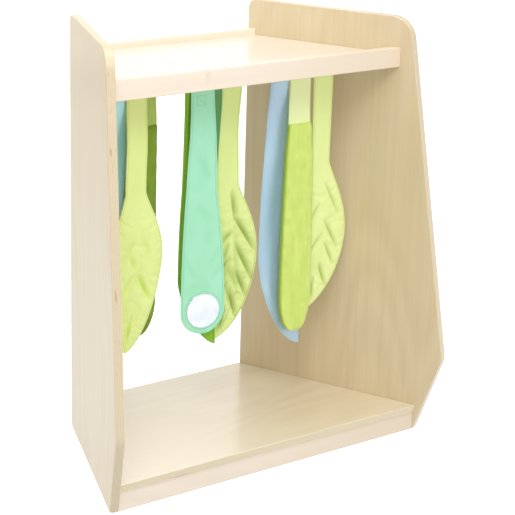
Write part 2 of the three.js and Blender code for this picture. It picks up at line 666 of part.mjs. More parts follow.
// A closed sheet: every station has the same points across it, from -1 at the left edge to 1 at
// the right, and the surface gives each point's middle and thickness
function sheetGeometry(stations, columns, surface) {
  const positions = [];
  const index = [];
  const across = columns + 1;
  for (const face of [FRONT_FACE, REAR_FACE]) {
    for (const station of stations) {
      for (let column = 0; column <= columns; column += 1) {
        const { x, y, z, thickness } = surface(station, 2 * column / columns - 1);
        positions.push(x, y + face * thickness / 2, z);
      }
    }
  }
  const rows = stations.length - 1;
  const back = stations.length * across;
  const quad = (a, b, c, d) => index.push(a, b, c, a, c, d);
  for (let row = 0; row < rows; row += 1) {
    for (let column = 0; column < columns; column += 1) {
      const corner = row * across + column;
      quad(corner, corner + across, corner + across + 1, corner + 1);
      quad(back + corner, back + corner + 1, back + corner + across + 1, back + corner + across);
    }
    const left = row * across;
    const right = left + columns;
    quad(left, back + left, back + left + across, left + across);
    quad(right, right + across, back + right + across, back + right);
  }
  for (let column = 0; column < columns; column += 1) {
    const bottom = rows * across + column;
    quad(column, column + 1, back + column + 1, back + column);
    quad(bottom, back + bottom, back + bottom + 1, bottom + 1);
  }
  const geometry = new THREE.BufferGeometry();
  geometry.setAttribute('position', new THREE.Float32BufferAttribute(positions, 3));
  geometry.setIndex(index);
  geometry.computeVertexNormals();
  return geometry;
}

// A twisted bunch turns about an upright line through the rail: not at its loop, and fully once it
// has hung down by the twist's length
function twistDown(geometry, { twist, line }) {
  const places = geometry.attributes.position;
  const pivot = new THREE.Vector3(line, -hangDepth, 0);
  for (let i = 0; i < places.count; i += 1) {
    const place = new THREE.Vector3().fromBufferAttribute(places, i).sub(pivot);
    place.applyAxisAngle(Z_AXIS, -twist * ease((strapTop - place.z) / TWIST_LENGTH)).add(pivot);
    places.setXYZ(i, place.x, place.y, place.z);
  }
  geometry.computeVertexNormals();
  return geometry;
}

// The mirror lies in a shallow recess, concentric with the round end of its strip
function buildMirrorStrip(strip, lane) {
  const { kind, shares } = strip;
  const endRadius = clearHalf * (shares.widest[1] - shares.widest[0]) / 2;
  const widestDrop = shares.tipDrop - endRadius / clearDrop;
  const rounded = { ...strip, shares: { ...shares, widestDrop } };
  const stations = [...strapStations(kind.strapRows, false), ...bodyStations(kind, rounded.shares)];
  const sheet = twistDown(sheetGeometry(stations, kind.columns, stripSurface(rounded, lane)), strip);
  const radius = endRadius - MIRROR_MARGIN;
  const front = lane - kind.thickness / 2 - MIRROR_PROUD;
  const centre = new THREE.Vector3(clearHalf * shares.tip, front, hangHeight - clearDrop * widestDrop);
  const floor = centre.clone().addScaledVector(Y_AXIS, MIRROR_THICKNESS + SEAT_GAP);
  const outside = centre.clone().addScaledVector(Y_AXIS, -CUT_OVERRUN);
  const recess = twistDown(cylinderBetween(outside, floor, radius + SEAT_GAP, HANG_SEGMENTS), strip);
  addMesh(model, strip.name, cut(sheet, [recess]), strip.material);
  const disc = turned([
    [0, 0],
    [radius - MIRROR_CHAMFER, 0],
    [radius, MIRROR_CHAMFER],
    [radius, MIRROR_THICKNESS],
    [0, MIRROR_THICKNESS],
  ], HANG_SEGMENTS).translate(centre.x, centre.y, centre.z);
  addMesh(model, 'middle_mirror_disc', twistDown(disc, strip), finishes.mirror);
}

function buildStrip(strip, lane) {
  const { kind } = strip;
  const surface = stripSurface(strip, lane);
  if (kind === mirrorStrip) {
    buildMirrorStrip(strip, lane);
  } else if (strip.strapName) {
    const strap = sheetGeometry(strapStations(kind.strapRows, true), kind.columns / 2, surface);
    const body = sheetGeometry(bodyStations(kind, strip.shares), kind.columns, surface);
    addMesh(model, strip.strapName, twistDown(strap, strip), finishes.webbing);
    addMesh(model, strip.name, twistDown(body, strip), strip.material);
  } else {
    const stations = [...strapStations(kind.strapRows, false), ...bodyStations(kind, strip.shares)];
    const sheet = sheetGeometry(stations, kind.columns, surface);
    addMesh(model, strip.name, twistDown(sheet, strip), strip.material);
  }
}

function buildBunch({ label, frontReach, layerGap, twistDegrees, strips }) {
  const left = Math.min(...strips.map(({ shares }) => shares.strap[0])) * clearHalf - LOOP_MARGIN;
  const right = Math.max(...strips.map(({ shares }) => shares.strap[1])) * clearHalf + LOOP_MARGIN;
  buildLoop(`${label}_hanger_loop`, left, right);
  const turn = { twist: THREE.MathUtils.degToRad(twistDegrees), line: (left + right) / 2 };
  let front = -hangDepth - frontReach;
  for (const strip of strips) {
    const layer = strip.kind.thickness + 2 * strip.kind.fold;
    buildStrip({ ...strip, ...turn }, front + layer / 2);
    front += layer + layerGap;
  }
}

sides.forEach(buildSide);
sides.forEach(buildGlides);
boards.forEach(buildBoard);
dowels.forEach(buildDowel);
cams.forEach(buildCam);
buildHangingRail();
bunches.forEach(buildBunch);

// The origin is under the middle of the finished cabinet, on the floor
const centre = new THREE.Box3().setFromObject(model, true).getCenter(new THREE.Vector3());
model.position.set(-centre.x, -centre.y, 0);
const cabinet = new THREE.Group();
cabinet.add(model);

export default cabinet;
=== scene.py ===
"""A children's trapezoid storage cabinet: the finishes of its woodwork and its hanging cloth.

The woodwork keeps its solids and gets its materials. The leaves, pads, straps and strips that
hang from the rail are made here as cloth, each in place of the solid of its name.
"""
import math

import bpy
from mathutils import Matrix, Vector, noise


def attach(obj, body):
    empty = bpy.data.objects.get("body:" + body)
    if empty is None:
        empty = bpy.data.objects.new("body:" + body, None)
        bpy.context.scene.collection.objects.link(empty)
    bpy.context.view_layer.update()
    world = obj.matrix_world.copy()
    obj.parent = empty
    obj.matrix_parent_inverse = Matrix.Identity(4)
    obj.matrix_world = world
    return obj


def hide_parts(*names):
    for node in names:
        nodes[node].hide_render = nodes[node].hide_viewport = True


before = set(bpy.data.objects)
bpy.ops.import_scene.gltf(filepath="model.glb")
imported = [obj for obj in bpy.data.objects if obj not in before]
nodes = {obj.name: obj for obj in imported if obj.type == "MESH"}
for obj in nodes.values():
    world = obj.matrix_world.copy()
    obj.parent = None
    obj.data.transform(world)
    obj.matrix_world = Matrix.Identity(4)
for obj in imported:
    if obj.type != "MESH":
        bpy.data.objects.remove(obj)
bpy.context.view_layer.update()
scene = bpy.context.scene

QUARTER = math.pi / 2
FULL_TURN = 2 * math.pi

# The cabinet, in metres
PLAN_ANGLE = math.radians(21.6)
LEFT_ACROSS = (-math.cos(PLAN_ANGLE), math.sin(PLAN_ANGLE), 0)
RIGHT_ACROSS = (math.cos(PLAN_ANGLE), math.sin(PLAN_ANGLE), 0)
CLEAR_HALF = 0.31416
CLEAR_DROP = 0.731
HANG_HEIGHT = 0.791
HANG_Y = -0.01957
PLY_THICKNESS = 0.0030

# How the strips leave their loops and settle into their lanes, and how the middle bunch twists
STRAP_TOP = 0.7784
TOP_DROP = (HANG_HEIGHT - STRAP_TOP) / CLEAR_DROP
STRAP_TUCK = 0.008
SETTLE = 0.110
TWIST = math.radians(10)
TWIST_LINE = -0.0534
TWIST_LENGTH = 0.300

# Loops round the rail
LOOP_RADIUS = 0.0113
LOOP_FOOT = 0.0190
LOOP_THICKNESS = 0.0009
LOOP_SPARE = 0.001
LOOP_POINTS = 44
LOOP_COLUMNS = 24
TAIL_HALF = 0.0013
TAIL_START = 0.0013
TAIL_CLOSE_SHARE = 0.34
TAIL_ROWS = 3
SAME_HEIGHT = 0.00002

# Cloth: thickness, and the share of it that is left where a padded piece is sewn flat
STRAP_THICKNESS = 0.0024
COTTON_THICKNESS = 0.0028
LEAF_THICKNESS = 0.0086
LEAF_FLAT_SHARE = 0.16
PAD_THICKNESS = 0.0166
PAD_FLAT_SHARE = 0.2
LEAST_WIDTH = 0.0024
TIP_HEM = 0.002

# Sway, folds and dents
STRAP_SWAY = 0.0006
STRAP_SWAY_PITCH = 0.05
STRIP_SWAY = 0.0005
STRIP_SWAY_PITCH = 0.035
# The depth at which a fold would get its whole crease colour as painted shade
FOLD_SHADE_DEPTH = 0.004
DENT_PITCH = 0.03
SHARPEST_ANGLE = math.radians(60)

# Grids of the cloth before it is rounded, as rows down and columns across
LEAF_GRID = (196, 40)
STRIP_GRID = (130, 22)
PAD_GRID = (104, 20)
STRAP_GRID = (40, 8)

# Quilting of the leaves
VEIN_UNDERSIDE = 0.0030
VEIN_SINK = 0.0046
MIDRIB_WIDTH = 0.0035
RIM_INSET = 0.0038
RIM_WIDTH = 0.0014
RIM_EDGE = 0.003
CRUMPLE_PITCH = 0.030
PUCKER_PITCH = 0.016
FACET_PITCH = 0.026
FACET_DEPTH = 0.0016

# Filling by cloth simulation: frames, pressure, growth of the cover and the most a point moves
FILL_FRAMES = 20
FILL_PRESSURE = 5.0
FILL_GROWTH = 0.03
LEAF_CAP = 0.0016
PAD_CAP = 0.0014

# Threads and stitches
STITCH_HALF = 0.0006
STITCH_PITCH = 0.0034
BOX_PITCH = 0.0030
CROSS_HALF = 0.0007
WEAVE_PITCH = 0.0011
GROOVE_WIDTH = 0.004
SEAM_AND_SHADE_WIDTH = 0.006
WEBBING_INSET = 0.003
WEBBING_STITCH_HALF = 0.0005
WEBBING_STITCH_PITCH = 0.003
RIB_PITCH = 0.0016
CORD_PITCH = 0.0022
MIRROR_DROP = 0.6519 * CLEAR_DROP
MIRROR_RING_RADIUS = 0.0405
BOX_CENTRE = (-0.0040, 0.0365)
BOX_HALF = 0.0100


def smooth_step(value):
    value = min(1.0, max(0.0, value))
    return value * value * (3 - 2 * value)


def mix(start, end, share):
    return start + (end - start) * share


def deselect():
    if bpy.context.object and bpy.context.object.mode != "OBJECT":
        bpy.ops.object.mode_set(mode="OBJECT")
    bpy.ops.object.select_all(action="DESELECT")


def take(piece):
    deselect()
    piece.select_set(True)
    bpy.context.view_layer.objects.active = piece


# Materials

def linear(red, green, blue):
    """A screen colour, 0 to 255, as the shader's own linear colour."""
    def one(value):
        value /= 255
        return value / 12.92 if value <= 0.04045 else ((value + 0.055) / 1.055) ** 2.4
    return one(red), one(green), one(blue), 1.0


class Finish:
    """A node material and short ways to add to it. Colours are given as on the screen."""

    def __init__(self, name, roughness, **sockets):
        self.material = bpy.data.materials.new(name)
        self.material.use_nodes = True
        self.tree = self.material.node_tree
        self.shader = self.tree.nodes["Principled BSDF"]
        self.shader.inputs["Roughness"].default_value = roughness
        for socket, value in sockets.items():
            self.shader.inputs[socket.replace("_", " ")].default_value = value
        self.place = self.add("ShaderNodeTexCoord").outputs["Object"]

    def add(self, kind, **settings):
        node = self.tree.nodes.new(kind)
        for key, value in settings.items():
            setattr(node, key, value)
        return node

    def link(self, source, target):
        self.tree.links.new(source, target)

    def mapped(self, source, scale=(1, 1, 1), turn=(0, 0, 0), shift=(0, 0, 0)):
        node = self.add("ShaderNodeMapping")
        node.inputs["Scale"].default_value = scale
        node.inputs["Rotation"].default_value = turn
        node.inputs["Location"].default_value = shift
        self.link(source, node.inputs["Vector"])
        return node.outputs["Vector"]

    def attribute(self, name):
        return self.add("ShaderNodeAttribute", attribute_name=name)

    def noise(self, place, scale, detail=3.0, roughness=0.5, distortion=0.0):
        node = self.add("ShaderNodeTexNoise")
        node.inputs["Scale"].default_value = scale
        node.inputs["Detail"].default_value = detail
        node.inputs["Roughness"].default_value = roughness
        node.inputs["Distortion"].default_value = distortion
        self.link(place, node.inputs["Vector"])
        return node.outputs["Fac"]

    def ramp(self, factor, *stops):
        """A ramp whose stops each have a position and a colour or a grey from 0 to 1."""
        node = self.add("ShaderNodeValToRGB")
        points = node.color_ramp.elements
        while len(points) < len(stops):
            points.new(1.0)
        for point, (position, tone) in zip(points, stops):
            point.position = position
            point.color = linear(*tone) if isinstance(tone, tuple) else (tone, tone, tone, 1)
        self.link(factor, node.inputs["Fac"])
        return node.outputs["Color"]

    def math(self, operation, first, second=None, third=None):
        node = self.add("ShaderNodeMath", operation=operation)
        for slot, value in enumerate((first, second, third)):
            if value is None:
                continue
            if isinstance(value, (int, float)):
                node.inputs[slot].default_value = value
            else:
                self.link(value, node.inputs[slot])
        return node.outputs[0]

    def times(self, first, second):
        return self.math("MULTIPLY", first, second)

    def wave(self, measure, pitch):
        """A sine that repeats at every pitch of a measure on the piece."""
        return self.math("SINE", self.times(measure, FULL_TURN / pitch))

    def blend(self, factor, under, over):
        node = self.add("ShaderNodeMix", data_type="RGBA", blend_type="MIX")
        factor_socket, under_socket, over_socket = (node.inputs[slot] for slot in (0, 6, 7))
        for socket, value in ((factor_socket, factor), (under_socket, under), (over_socket, over)):
            if isinstance(value, tuple):
                socket.default_value = linear(*value)
            elif isinstance(value, (int, float)):
                socket.default_value = value
            else:
                self.link(value, socket)
        return node.outputs[2]

    def apart(self, vector):
        node = self.add("ShaderNodeSeparateXYZ")
        self.link(vector, node.inputs[0])
        return node.outputs

    def along(self, vector, direction):
        node = self.add("ShaderNodeVectorMath", operation="DOT_PRODUCT")
        node.inputs[1].default_value = direction
        self.link(vector, node.inputs[0])
        return node.outputs["Value"]

    def from_mark(self, centre, size):
        """Distance from the middle of a mark on the piece: 0 in the middle and 1 at its rim."""
        moved = self.mapped(self.place, shift=tuple(-place for place in centre))
        scaled = self.mapped(moved, scale=tuple(1 / length for length in size))
        node = self.add("ShaderNodeVectorMath", operation="LENGTH")
        self.link(scaled, node.inputs[0])
        return node.outputs["Value"]

    def paint_light_grade(self, tone, direction, start, end, colour):
        """Painted light and shade: a tone going over to another colour between two places on a
        line.
        """
        reach = self.math("SUBTRACT", self.along(self.place, direction), start)
        share = self.ramp(self.times(reach, 1 / (end - start)), (0.0, 0.0), (1.0, 0.75))
        return self.blend(share, tone, colour)

    def colour(self, source):
        self.link(source, self.shader.inputs["Base Color"])

    def rough(self, source):
        self.link(source, self.shader.inputs["Roughness"])

    def bump(self, height, strength, distance):
        node = self.add("ShaderNodeBump")
        node.inputs["Strength"].default_value = strength
        node.inputs["Distance"].default_value = distance
        self.link(height, node.inputs["Height"])
        self.link(node.outputs["Normal"], self.shader.inputs["Normal"])


def wood_grain(finish, place, light, dark, pore):
    """Birch on a place whose Z runs along the grain: arched figure, streaks and fine pores."""
    broad = finish.noise(finish.mapped(place, (4.2, 4.2, 0.9)), 1.0, 1.0, 0.4, 0.5)
    arches = finish.math("SINE", finish.times(broad, 62.0))
    streak = finish.noise(finish.mapped(place, (95, 95, 2.4)), 1.0, 4.0, 0.62, 0.2)
    fibre = finish.noise(finish.mapped(place, (640, 640, 12)), 1.0, 2.0, 0.6)
    streaks = finish.math("MULTIPLY_ADD", streak, 0.55, 0.225)
    figure = finish.math("MULTIPLY_ADD", arches, 0.060, streaks)
    figure = finish.math("MULTIPLY_ADD", finish.math("SUBTRACT", broad, 0.5), 0.55, figure)
    tone = finish.ramp(figure, (0.22, light), (0.80, dark))
    flecks = finish.ramp(fibre, (0.60, 0.0), (0.78, 1.0))
    return finish.blend(finish.times(flecks, 0.12), tone, pore), fibre


def plywood_finish(name, across, grain_turn, light, dark, voids=(), lacquer=0.35, painted_grade=None):
    """Lacquered birch plywood: veneer on its faces and glued plies on its edges. across is the
    direction through the board, and grain_turn lays the grain along the board. voids are dark
    gaps in the plies, each with its middle and size. The last argument paints light and shade
    on the veneer: a direction, two places along it and the veneer's colour at the second."""
    finish = Finish(name, 0.42, Specular_IOR_Level=0.5, Coat_Weight=lacquer, Coat_Roughness=0.18)
    place = finish.mapped(finish.place, turn=grain_turn)
    face, fibre = wood_grain(finish, place, light, dark, (184, 158, 116))
    # Painted light and shade: the veneer goes over to another colour along a direction
    if painted_grade:
        face = finish.paint_light_grade(face, *painted_grade)
    through = finish.along(finish.place, across)
    ply = finish.math("FRACT", finish.times(through, 1 / PLY_THICKNESS))
    core = finish.ramp(ply, (0.0, (225, 210, 178)), (0.50, (221, 204, 170)),
                       (0.56, (203, 182, 144)), (0.94, (210, 189, 152)), (1.0, (182, 156, 118)))
    streaks = finish.noise(finish.mapped(place, (330, 330, 8)), 1.0, 3.0, 0.6)
    core = finish.blend(finish.times(streaks, 0.9), core, (225, 212, 182))
    core = finish.blend(finish.ramp(streaks, (0.58, 0.0), (0.72, 0.45)), core, (196, 162, 124))
    gap = finish.noise(finish.mapped(finish.place, (70, 70, 22)), 1.0, 1.0)
    core = finish.blend(finish.ramp(gap, (0.82, 0.0), (0.85, 0.7)), core, (120, 90, 60))
    for centre, size in voids:
        mark = finish.ramp(finish.from_mark(centre, size), (0.4, 0.55), (1.0, 0.0))
        core = finish.blend(mark, core, (150, 112, 72))
    normal = finish.add("ShaderNodeNewGeometry").outputs["True Normal"]
    towards = finish.math("ABSOLUTE", finish.along(normal, across))
    is_face = finish.math("GREATER_THAN", towards, 0.6)
    finish.colour(finish.blend(is_face, core, face))
    finish.rough(finish.ramp(fibre, (0.3, 0.34), (0.8, 0.46)))
    finish.bump(fibre, 0.10, 0.0004)
    return finish.material


def solid_wood_finish(name, light, dark, pore, knots=(), painted_grade=None):
    """Solid birch with its grain along X, small knots where they are given, and light and shade
    painted along a direction by its last argument.
    """
    finish = Finish(name, 0.42, Specular_IOR_Level=0.5, Coat_Weight=0.3, Coat_Roughness=0.18)
    place = finish.mapped(finish.place, turn=(0, QUARTER, 0))
    tone, fibre = wood_grain(finish, place, light, dark, pore)
    # Painted light and shade: the wood goes over to another colour along a direction
    if painted_grade:
        tone = finish.paint_light_grade(tone, *painted_grade)
    for centre, size in knots:
        away = finish.from_mark(centre, size)
        rings = finish.math("SINE", finish.times(away, 11.0))
        inside = finish.ramp(away, (0.15, 0.42), (1.0, 0.0))
        tone = finish.blend(inside, tone, (232, 200, 170))
        tone = finish.blend(finish.times(finish.times(rings, inside), 0.4), tone, pore)
    finish.colour(tone)
    finish.rough(finish.ramp(fibre, (0.3, 0.36), (0.8, 0.48)))
    finish.bump(fibre, 0.12, 0.0004)
    return finish.material


def metal_finish():
    finish = Finish("zinc_plate", 0.35, Metallic=1.0)
    cloud = finish.noise(finish.place, 900, 3.0)
    finish.colour(finish.ramp(cloud, (0.3, (176, 178, 180)), (0.7, (206, 208, 210))))
    finish.bump(cloud, 0.1, 0.0002)
    return finish.material


def glide_finish():
    finish = Finish("glide_plastic", 0.6)
    cloud = finish.noise(finish.place, 1400, 2.0)
    finish.colour(finish.ramp(cloud, (0.3, (116, 121, 104)), (0.7, (136, 141, 124))))
    finish.bump(cloud, 0.2, 0.0002)
    return finish.material


def crossed(finish, across, across_pitch, down, down_pitch):
    """Threads that cross on the cloth's own measure, from 0 to 1."""
    first = finish.wave(across, across_pitch)
    second = finish.wave(down, down_pitch)
    return finish.math("MULTIPLY_ADD", finish.times(first, second), 0.5, 0.5)


def stitches(finish, off, along, half_width, pitch):
    """A stitched line: where off is near 0, broken into stitches along it."""
    on_line = finish.math("LESS_THAN", finish.math("ABSOLUTE", off), half_width)
    position = finish.math("FRACT", finish.times(along, 1 / pitch))
    return finish.times(on_line, finish.math("LESS_THAN", position, 0.7))


def boxed_cross(finish, across, down, centre, half):
    """Stitching in a box with a cross in it, as a strap is sewn on."""
    side = finish.math("ABSOLUTE", finish.math("SUBTRACT", across, centre[0]))
    drop = finish.math("ABSOLUTE", finish.math("SUBTRACT", down, centre[1]))
    reach = finish.math("MAXIMUM", side, drop)
    both = finish.math("ADD", across, down)
    from_box = finish.math("SUBTRACT", reach, half)
    box = stitches(finish, from_box, both, STITCH_HALF, BOX_PITCH)
    from_cross = finish.math("SUBTRACT", side, drop)
    cross = stitches(finish, from_cross, both, CROSS_HALF, BOX_PITCH)
    inside = finish.math("LESS_THAN", reach, half)
    return finish.math("MAXIMUM", box, finish.times(cross, inside))


def mirror_stitching(finish, across, down):
    """The stitched ring round the disc, and the box under the loop."""
    from_middle = finish.math("SUBTRACT", down, MIRROR_DROP)
    squares = finish.math("ADD", finish.math("POWER", across, 2),
                          finish.math("POWER", from_middle, 2))
    off = finish.math("SUBTRACT", finish.math("SQRT", squares), MIRROR_RING_RADIUS)
    both = finish.math("ADD", across, down)
    ring = stitches(finish, off, both, STITCH_HALF, STITCH_PITCH)
    return finish.math("MAXIMUM", ring, boxed_cross(finish, across, down, BOX_CENTRE, BOX_HALF))


def cloth_finish(name, light, dark, shade, thread, crease, inset, sewn=None, shade_patch=None):
    """Woven cotton with its edge stitched, cloudy wear and painted shade in its folds. sewn adds
    other stitching, and the last argument paints shade, in a darker teal, on the part of the
    strap's front that it covers."""
    finish = Finish(name, 0.86, Specular_IOR_Level=0.2, Sheen_Weight=0.2, Sheen_Roughness=0.5)
    cloth = finish.attribute("cloth").outputs["Vector"]
    across, down, edge = finish.apart(cloth)
    cloud = finish.noise(finish.mapped(cloth, (24, 9, 0)), 1.0, 4.0, 0.55)
    tone = finish.ramp(cloud, (0.32, light), (0.72, dark))
    # Painted shade: a darker teal patch on the front of the strap's upper right part
    if shade_patch:
        in_shade_patch = finish.times(finish.math("GREATER_THAN", across, shade_patch["across"]),
                             finish.math("LESS_THAN", down, shade_patch["down"]))
        normal = finish.add("ShaderNodeNewGeometry").outputs["True Normal"]
        to_front = finish.math("LESS_THAN", finish.along(normal, (0, 1, 0)), 0.0)
        in_shade_patch = finish.times(in_shade_patch, to_front)
        tone = finish.blend(in_shade_patch, tone, shade_patch["colour"])
    thread_grain = finish.noise(finish.mapped(cloth, (2400, 900, 0)), 1.0, 2.0)
    tone = finish.blend(finish.times(thread_grain, 0.14), tone, shade)
    # Painted shade: the cloth goes over to its crease colour in its folds and sewn grooves
    fold = finish.attribute("fold").outputs["Fac"]
    tone = finish.blend(fold, tone, crease)
    off = finish.math("SUBTRACT", edge, inset)
    stitch = stitches(finish, off, down, STITCH_HALF, STITCH_PITCH)
    if sewn:
        stitch = finish.math("MAXIMUM", stitch, sewn(finish, across, down))
    tone = finish.blend(finish.times(stitch, 0.75), tone, thread)
    hem = finish.math("LESS_THAN", edge, inset)
    tone = finish.blend(finish.times(hem, 0.10), tone, shade)
    finish.colour(tone)
    near = finish.times(finish.math("ABSOLUTE", off), 1 / GROOVE_WIDTH)
    groove = finish.ramp(near, (0.0, 0.0), (1.0, 1.0))
    threads = crossed(finish, across, WEAVE_PITCH, down, WEAVE_PITCH)
    height = finish.math("MULTIPLY_ADD", threads, 0.12, groove)
    height = finish.math("MULTIPLY_ADD", stitch, 0.3, height)
    finish.bump(height, 0.5, 0.0008)
    return finish.material


def plush_finish(name, light, dark, deep):
    """Short plush pile, brushed in places, with a dark seam along its edges and painted shade
    on the side walls beside it.
    """
    finish = Finish(name, 1.0, Specular_IOR_Level=0.1, Sheen_Weight=0.5, Sheen_Roughness=0.35)
    cloth = finish.attribute("cloth").outputs["Vector"]
    edge = finish.apart(cloth)[2]
    brushed = finish.noise(finish.mapped(cloth, (46, 14, 0)), 1.0, 4.0, 0.6, 0.4)
    pile = finish.noise(finish.place, 1300, 2.0, 0.7)
    tone = finish.ramp(brushed, (0.3, light), (0.7, dark))
    tone = finish.blend(finish.ramp(pile, (0.45, 0.0), (0.7, 0.40)), tone, deep)
    # Dark seam thread at the very edge, then painted shade fading over the pad's side wall
    from_seam = finish.times(edge, 1 / SEAM_AND_SHADE_WIDTH)
    seam_and_side_shade = finish.ramp(from_seam, (0.0, 0.85), (0.35, 0.45), (1.0, 0.0))
    finish.colour(finish.blend(seam_and_side_shade, tone, deep))
    finish.bump(pile, 0.7, 0.0014)
    return finish.material


def webbing_finish(name, light, dark, rib, thread):
    """Ribbed webbing with a stitched line along its edges."""
    finish = Finish(name, 0.8, Specular_IOR_Level=0.2, Sheen_Weight=0.25, Sheen_Roughness=0.5)
    cloth = finish.attribute("cloth").outputs["Vector"]
    across, down, edge = finish.apart(cloth)
    height = crossed(finish, down, RIB_PITCH, across, CORD_PITCH)
    cloud = finish.noise(finish.mapped(cloth, (60, 30, 0)), 1.0, 3.0)
    tone = finish.ramp(cloud, (0.3, light), (0.7, dark))
    tone = finish.blend(finish.times(height, 0.16), tone, rib)
    off = finish.math("SUBTRACT", edge, WEBBING_INSET)
    stitch = stitches(finish, off, down, WEBBING_STITCH_HALF, WEBBING_STITCH_PITCH)
    finish.colour(finish.blend(finish.times(stitch, 0.75), tone, thread))
    finish.bump(height, 0.5, 0.0006)
    return finish.material


def mirror_finish():
    finish = Finish("mirror_acrylic", 0.12, Metallic=0.6, Specular_IOR_Level=0.6)
    haze = finish.noise(finish.place, 45, 3.0)
    finish.colour(finish.ramp(haze, (0.3, (222, 226, 232)), (0.7, (206, 212, 222))))
    finish.rough(finish.ramp(haze, (0.3, 0.14), (0.7, 0.24)))
    return finish.material


# Marks in the wood, each with its middle and its size: gaps in the plies of the left side's
# front edge, a split in the bottom board's front edge and a knot in the front rail
left_edge_voids = (((-0.3814, -0.1541, 0.7140), (0.0018, 0.020, 0.0110)),
                   ((-0.3858, -0.1905, 0.4490), (0.0016, 0.020, 0.0170)),
                   ((-0.3952, -0.1905, 0.4490), (0.0018, 0.020, 0.0180)),
                   ((-0.3959, -0.2044, 0.1720), (0.0022, 0.020, 0.0040)))
board_split = (((-0.2350, -0.1865, 0.0455), (0.035, 0.010, 0.0018)),)
rail_knot = (((-0.1370, -0.1136, 0.8250), (0.0100, 0.020, 0.0200)),)

# In the cloth finishes, crease is the colour of the painted shade in folds and sewn grooves
finishes = {
    # Painted shade: the left side's veneer goes darker and warmer towards its top, its lower part
    # paler as if lit from below
    "left_side": plywood_finish(
        "left_side_plywood", LEFT_ACROSS, (0, 0, PLAN_ANGLE), light=(237, 221, 185),
        dark=(223, 203, 163), voids=left_edge_voids, lacquer=0.2,
        painted_grade=((0, 0, 1), 0.45, 0.95, (224, 196, 142))),
    "right_side": plywood_finish(
        "right_side_plywood", RIGHT_ACROSS, (0, 0, -PLAN_ANGLE), light=(231, 215, 181),
        dark=(214, 193, 154)),
    "top_board": plywood_finish(
        "top_board_plywood", (0, 0, 1), (0, QUARTER, 0), light=(239, 230, 214),
        dark=(232, 220, 200), lacquer=0.6),
    # Painted light: the bottom board's veneer goes paler towards its left end, where more light
    # reaches it
    "bottom_board": plywood_finish(
        "bottom_board_plywood", (0, 0, 1), (0, QUARTER, 0), light=(241, 228, 203),
        dark=(225, 208, 175), voids=board_split, lacquer=0.8,
        painted_grade=((-1, 0, 0), -0.20, 0.34, (246, 238, 222))),
    # A paler copy of the solid birch for the rear rail: painted light
    "lit_lip": solid_wood_finish(
        "lit_lip_birch", light=(246, 237, 220), dark=(240, 228, 207), pore=(218, 192, 160)),
    # Painted shade: the rails and plinths go darker towards their right ends, where less light
    # falls; the knot is the wood's own
    "solid": solid_wood_finish(
        "solid_birch", light=(244, 232, 215), dark=(236, 220, 199), pore=(210, 180, 148),
        knots=rail_knot, painted_grade=((1, 0, 0), -0.05, 0.36, (226, 206, 178))),
    "dowel": solid_wood_finish(
        "turned_beech", light=(222, 194, 150), dark=(205, 172, 124), pore=(160, 120, 78)),
    "zinc": metal_finish(),
    "glide": glide_finish(),
    # A paler copy of the lime cotton for the right leaf: painted light against the shade it hangs
    # in
    "pale_lime": cloth_finish(
        "lit_lime_cotton", light=(239, 251, 174), dark=(231, 245, 162), shade=(210, 228, 136),
        thread=(186, 206, 102), crease=(166, 190, 84), inset=0.0035),
    "bright_lime": cloth_finish(
        "bright_lime_cotton", light=(233, 246, 164), dark=(225, 240, 152), shade=(204, 222, 124),
        thread=(182, 202, 96), crease=(200, 226, 92), inset=0.0035),
    "lime": cloth_finish(
        "lime_cotton", light=(231, 244, 163), dark=(223, 238, 151), shade=(202, 220, 124),
        thread=(176, 196, 92), crease=(142, 168, 60), inset=0.0035),
    "blue": cloth_finish(
        "blue_cloth", light=(196, 224, 246), dark=(180, 211, 236), shade=(152, 190, 216),
        thread=(156, 188, 208), crease=(150, 188, 204), inset=0.004),
    # A paler, more teal copy of the blue cloth for the left strip: painted light against the deep
    # shade it hangs in
    "teal_blue": cloth_finish(
        "lit_teal_blue_cloth", light=(196, 248, 255), dark=(184, 242, 255), shade=(160, 206, 230),
        thread=(150, 198, 212), crease=(166, 216, 228), inset=0.004),
    # Its strap's upper right front gets a darker teal patch of painted shade
    "dark_green": cloth_finish(
        "dark_green_cloth", light=(146, 198, 58), dark=(130, 184, 48), shade=(92, 144, 32),
        thread=(86, 134, 36), crease=(74, 122, 30), inset=0.004,
        shade_patch={"across": 0.004, "down": 0.20, "colour": (98, 154, 98)}),
    "mint": cloth_finish(
        "mint_cloth", light=(178, 241, 207), dark=(165, 233, 194), shade=(136, 214, 174),
        thread=(120, 198, 158), crease=(148, 222, 182), inset=0.0045, sewn=mirror_stitching),
    "plush": plush_finish(
        "lime_plush", light=(232, 250, 142), dark=(216, 238, 120), deep=(150, 182, 54)),
    # A darker copy of the lime plush for the left pad, which hangs behind the left leaf: painted
    # shade
    "dark_plush": plush_finish(
        "shaded_lime_plush", light=(136, 164, 52), dark=(118, 144, 42), deep=(84, 108, 26)),
    "webbing": webbing_finish(
        "strap_webbing", light=(246, 255, 194), dark=(243, 255, 186), rib=(241, 255, 180),
        thread=(206, 228, 132)),
    # A darker copy of the webbing for the left pad's strap: painted shade
    "shaded_webbing": webbing_finish(
        "shaded_strap_webbing", light=(184, 204, 104), dark=(170, 192, 92), rib=(140, 164, 66),
        thread=(128, 152, 60)),
    "mirror": mirror_finish(),
}


# Woodwork keeps its solids and gets its finishes

def dress(node, finish):
    nodes[node].data.materials.clear()
    nodes[node].data.materials.append(finishes[finish])


dress("left_side_panel", "left_side")
dress("right_side_panel", "right_side")
for node in nodes:
    if node in ("top_board", "bottom_board"):
        dress(node, node)
    elif node == "rear_rail":
        dress(node, "lit_lip")
    elif "dowel" in node or node == "hanging_rail":
        dress(node, "dowel")
    elif node.endswith("_rail") or node.endswith("_plinth"):
        dress(node, "solid")
    elif node.startswith("cam"):
        dress(node, "zinc")
    elif node.startswith("glide"):
        dress(node, "glide")
dress("middle_mirror_disc", "mirror")


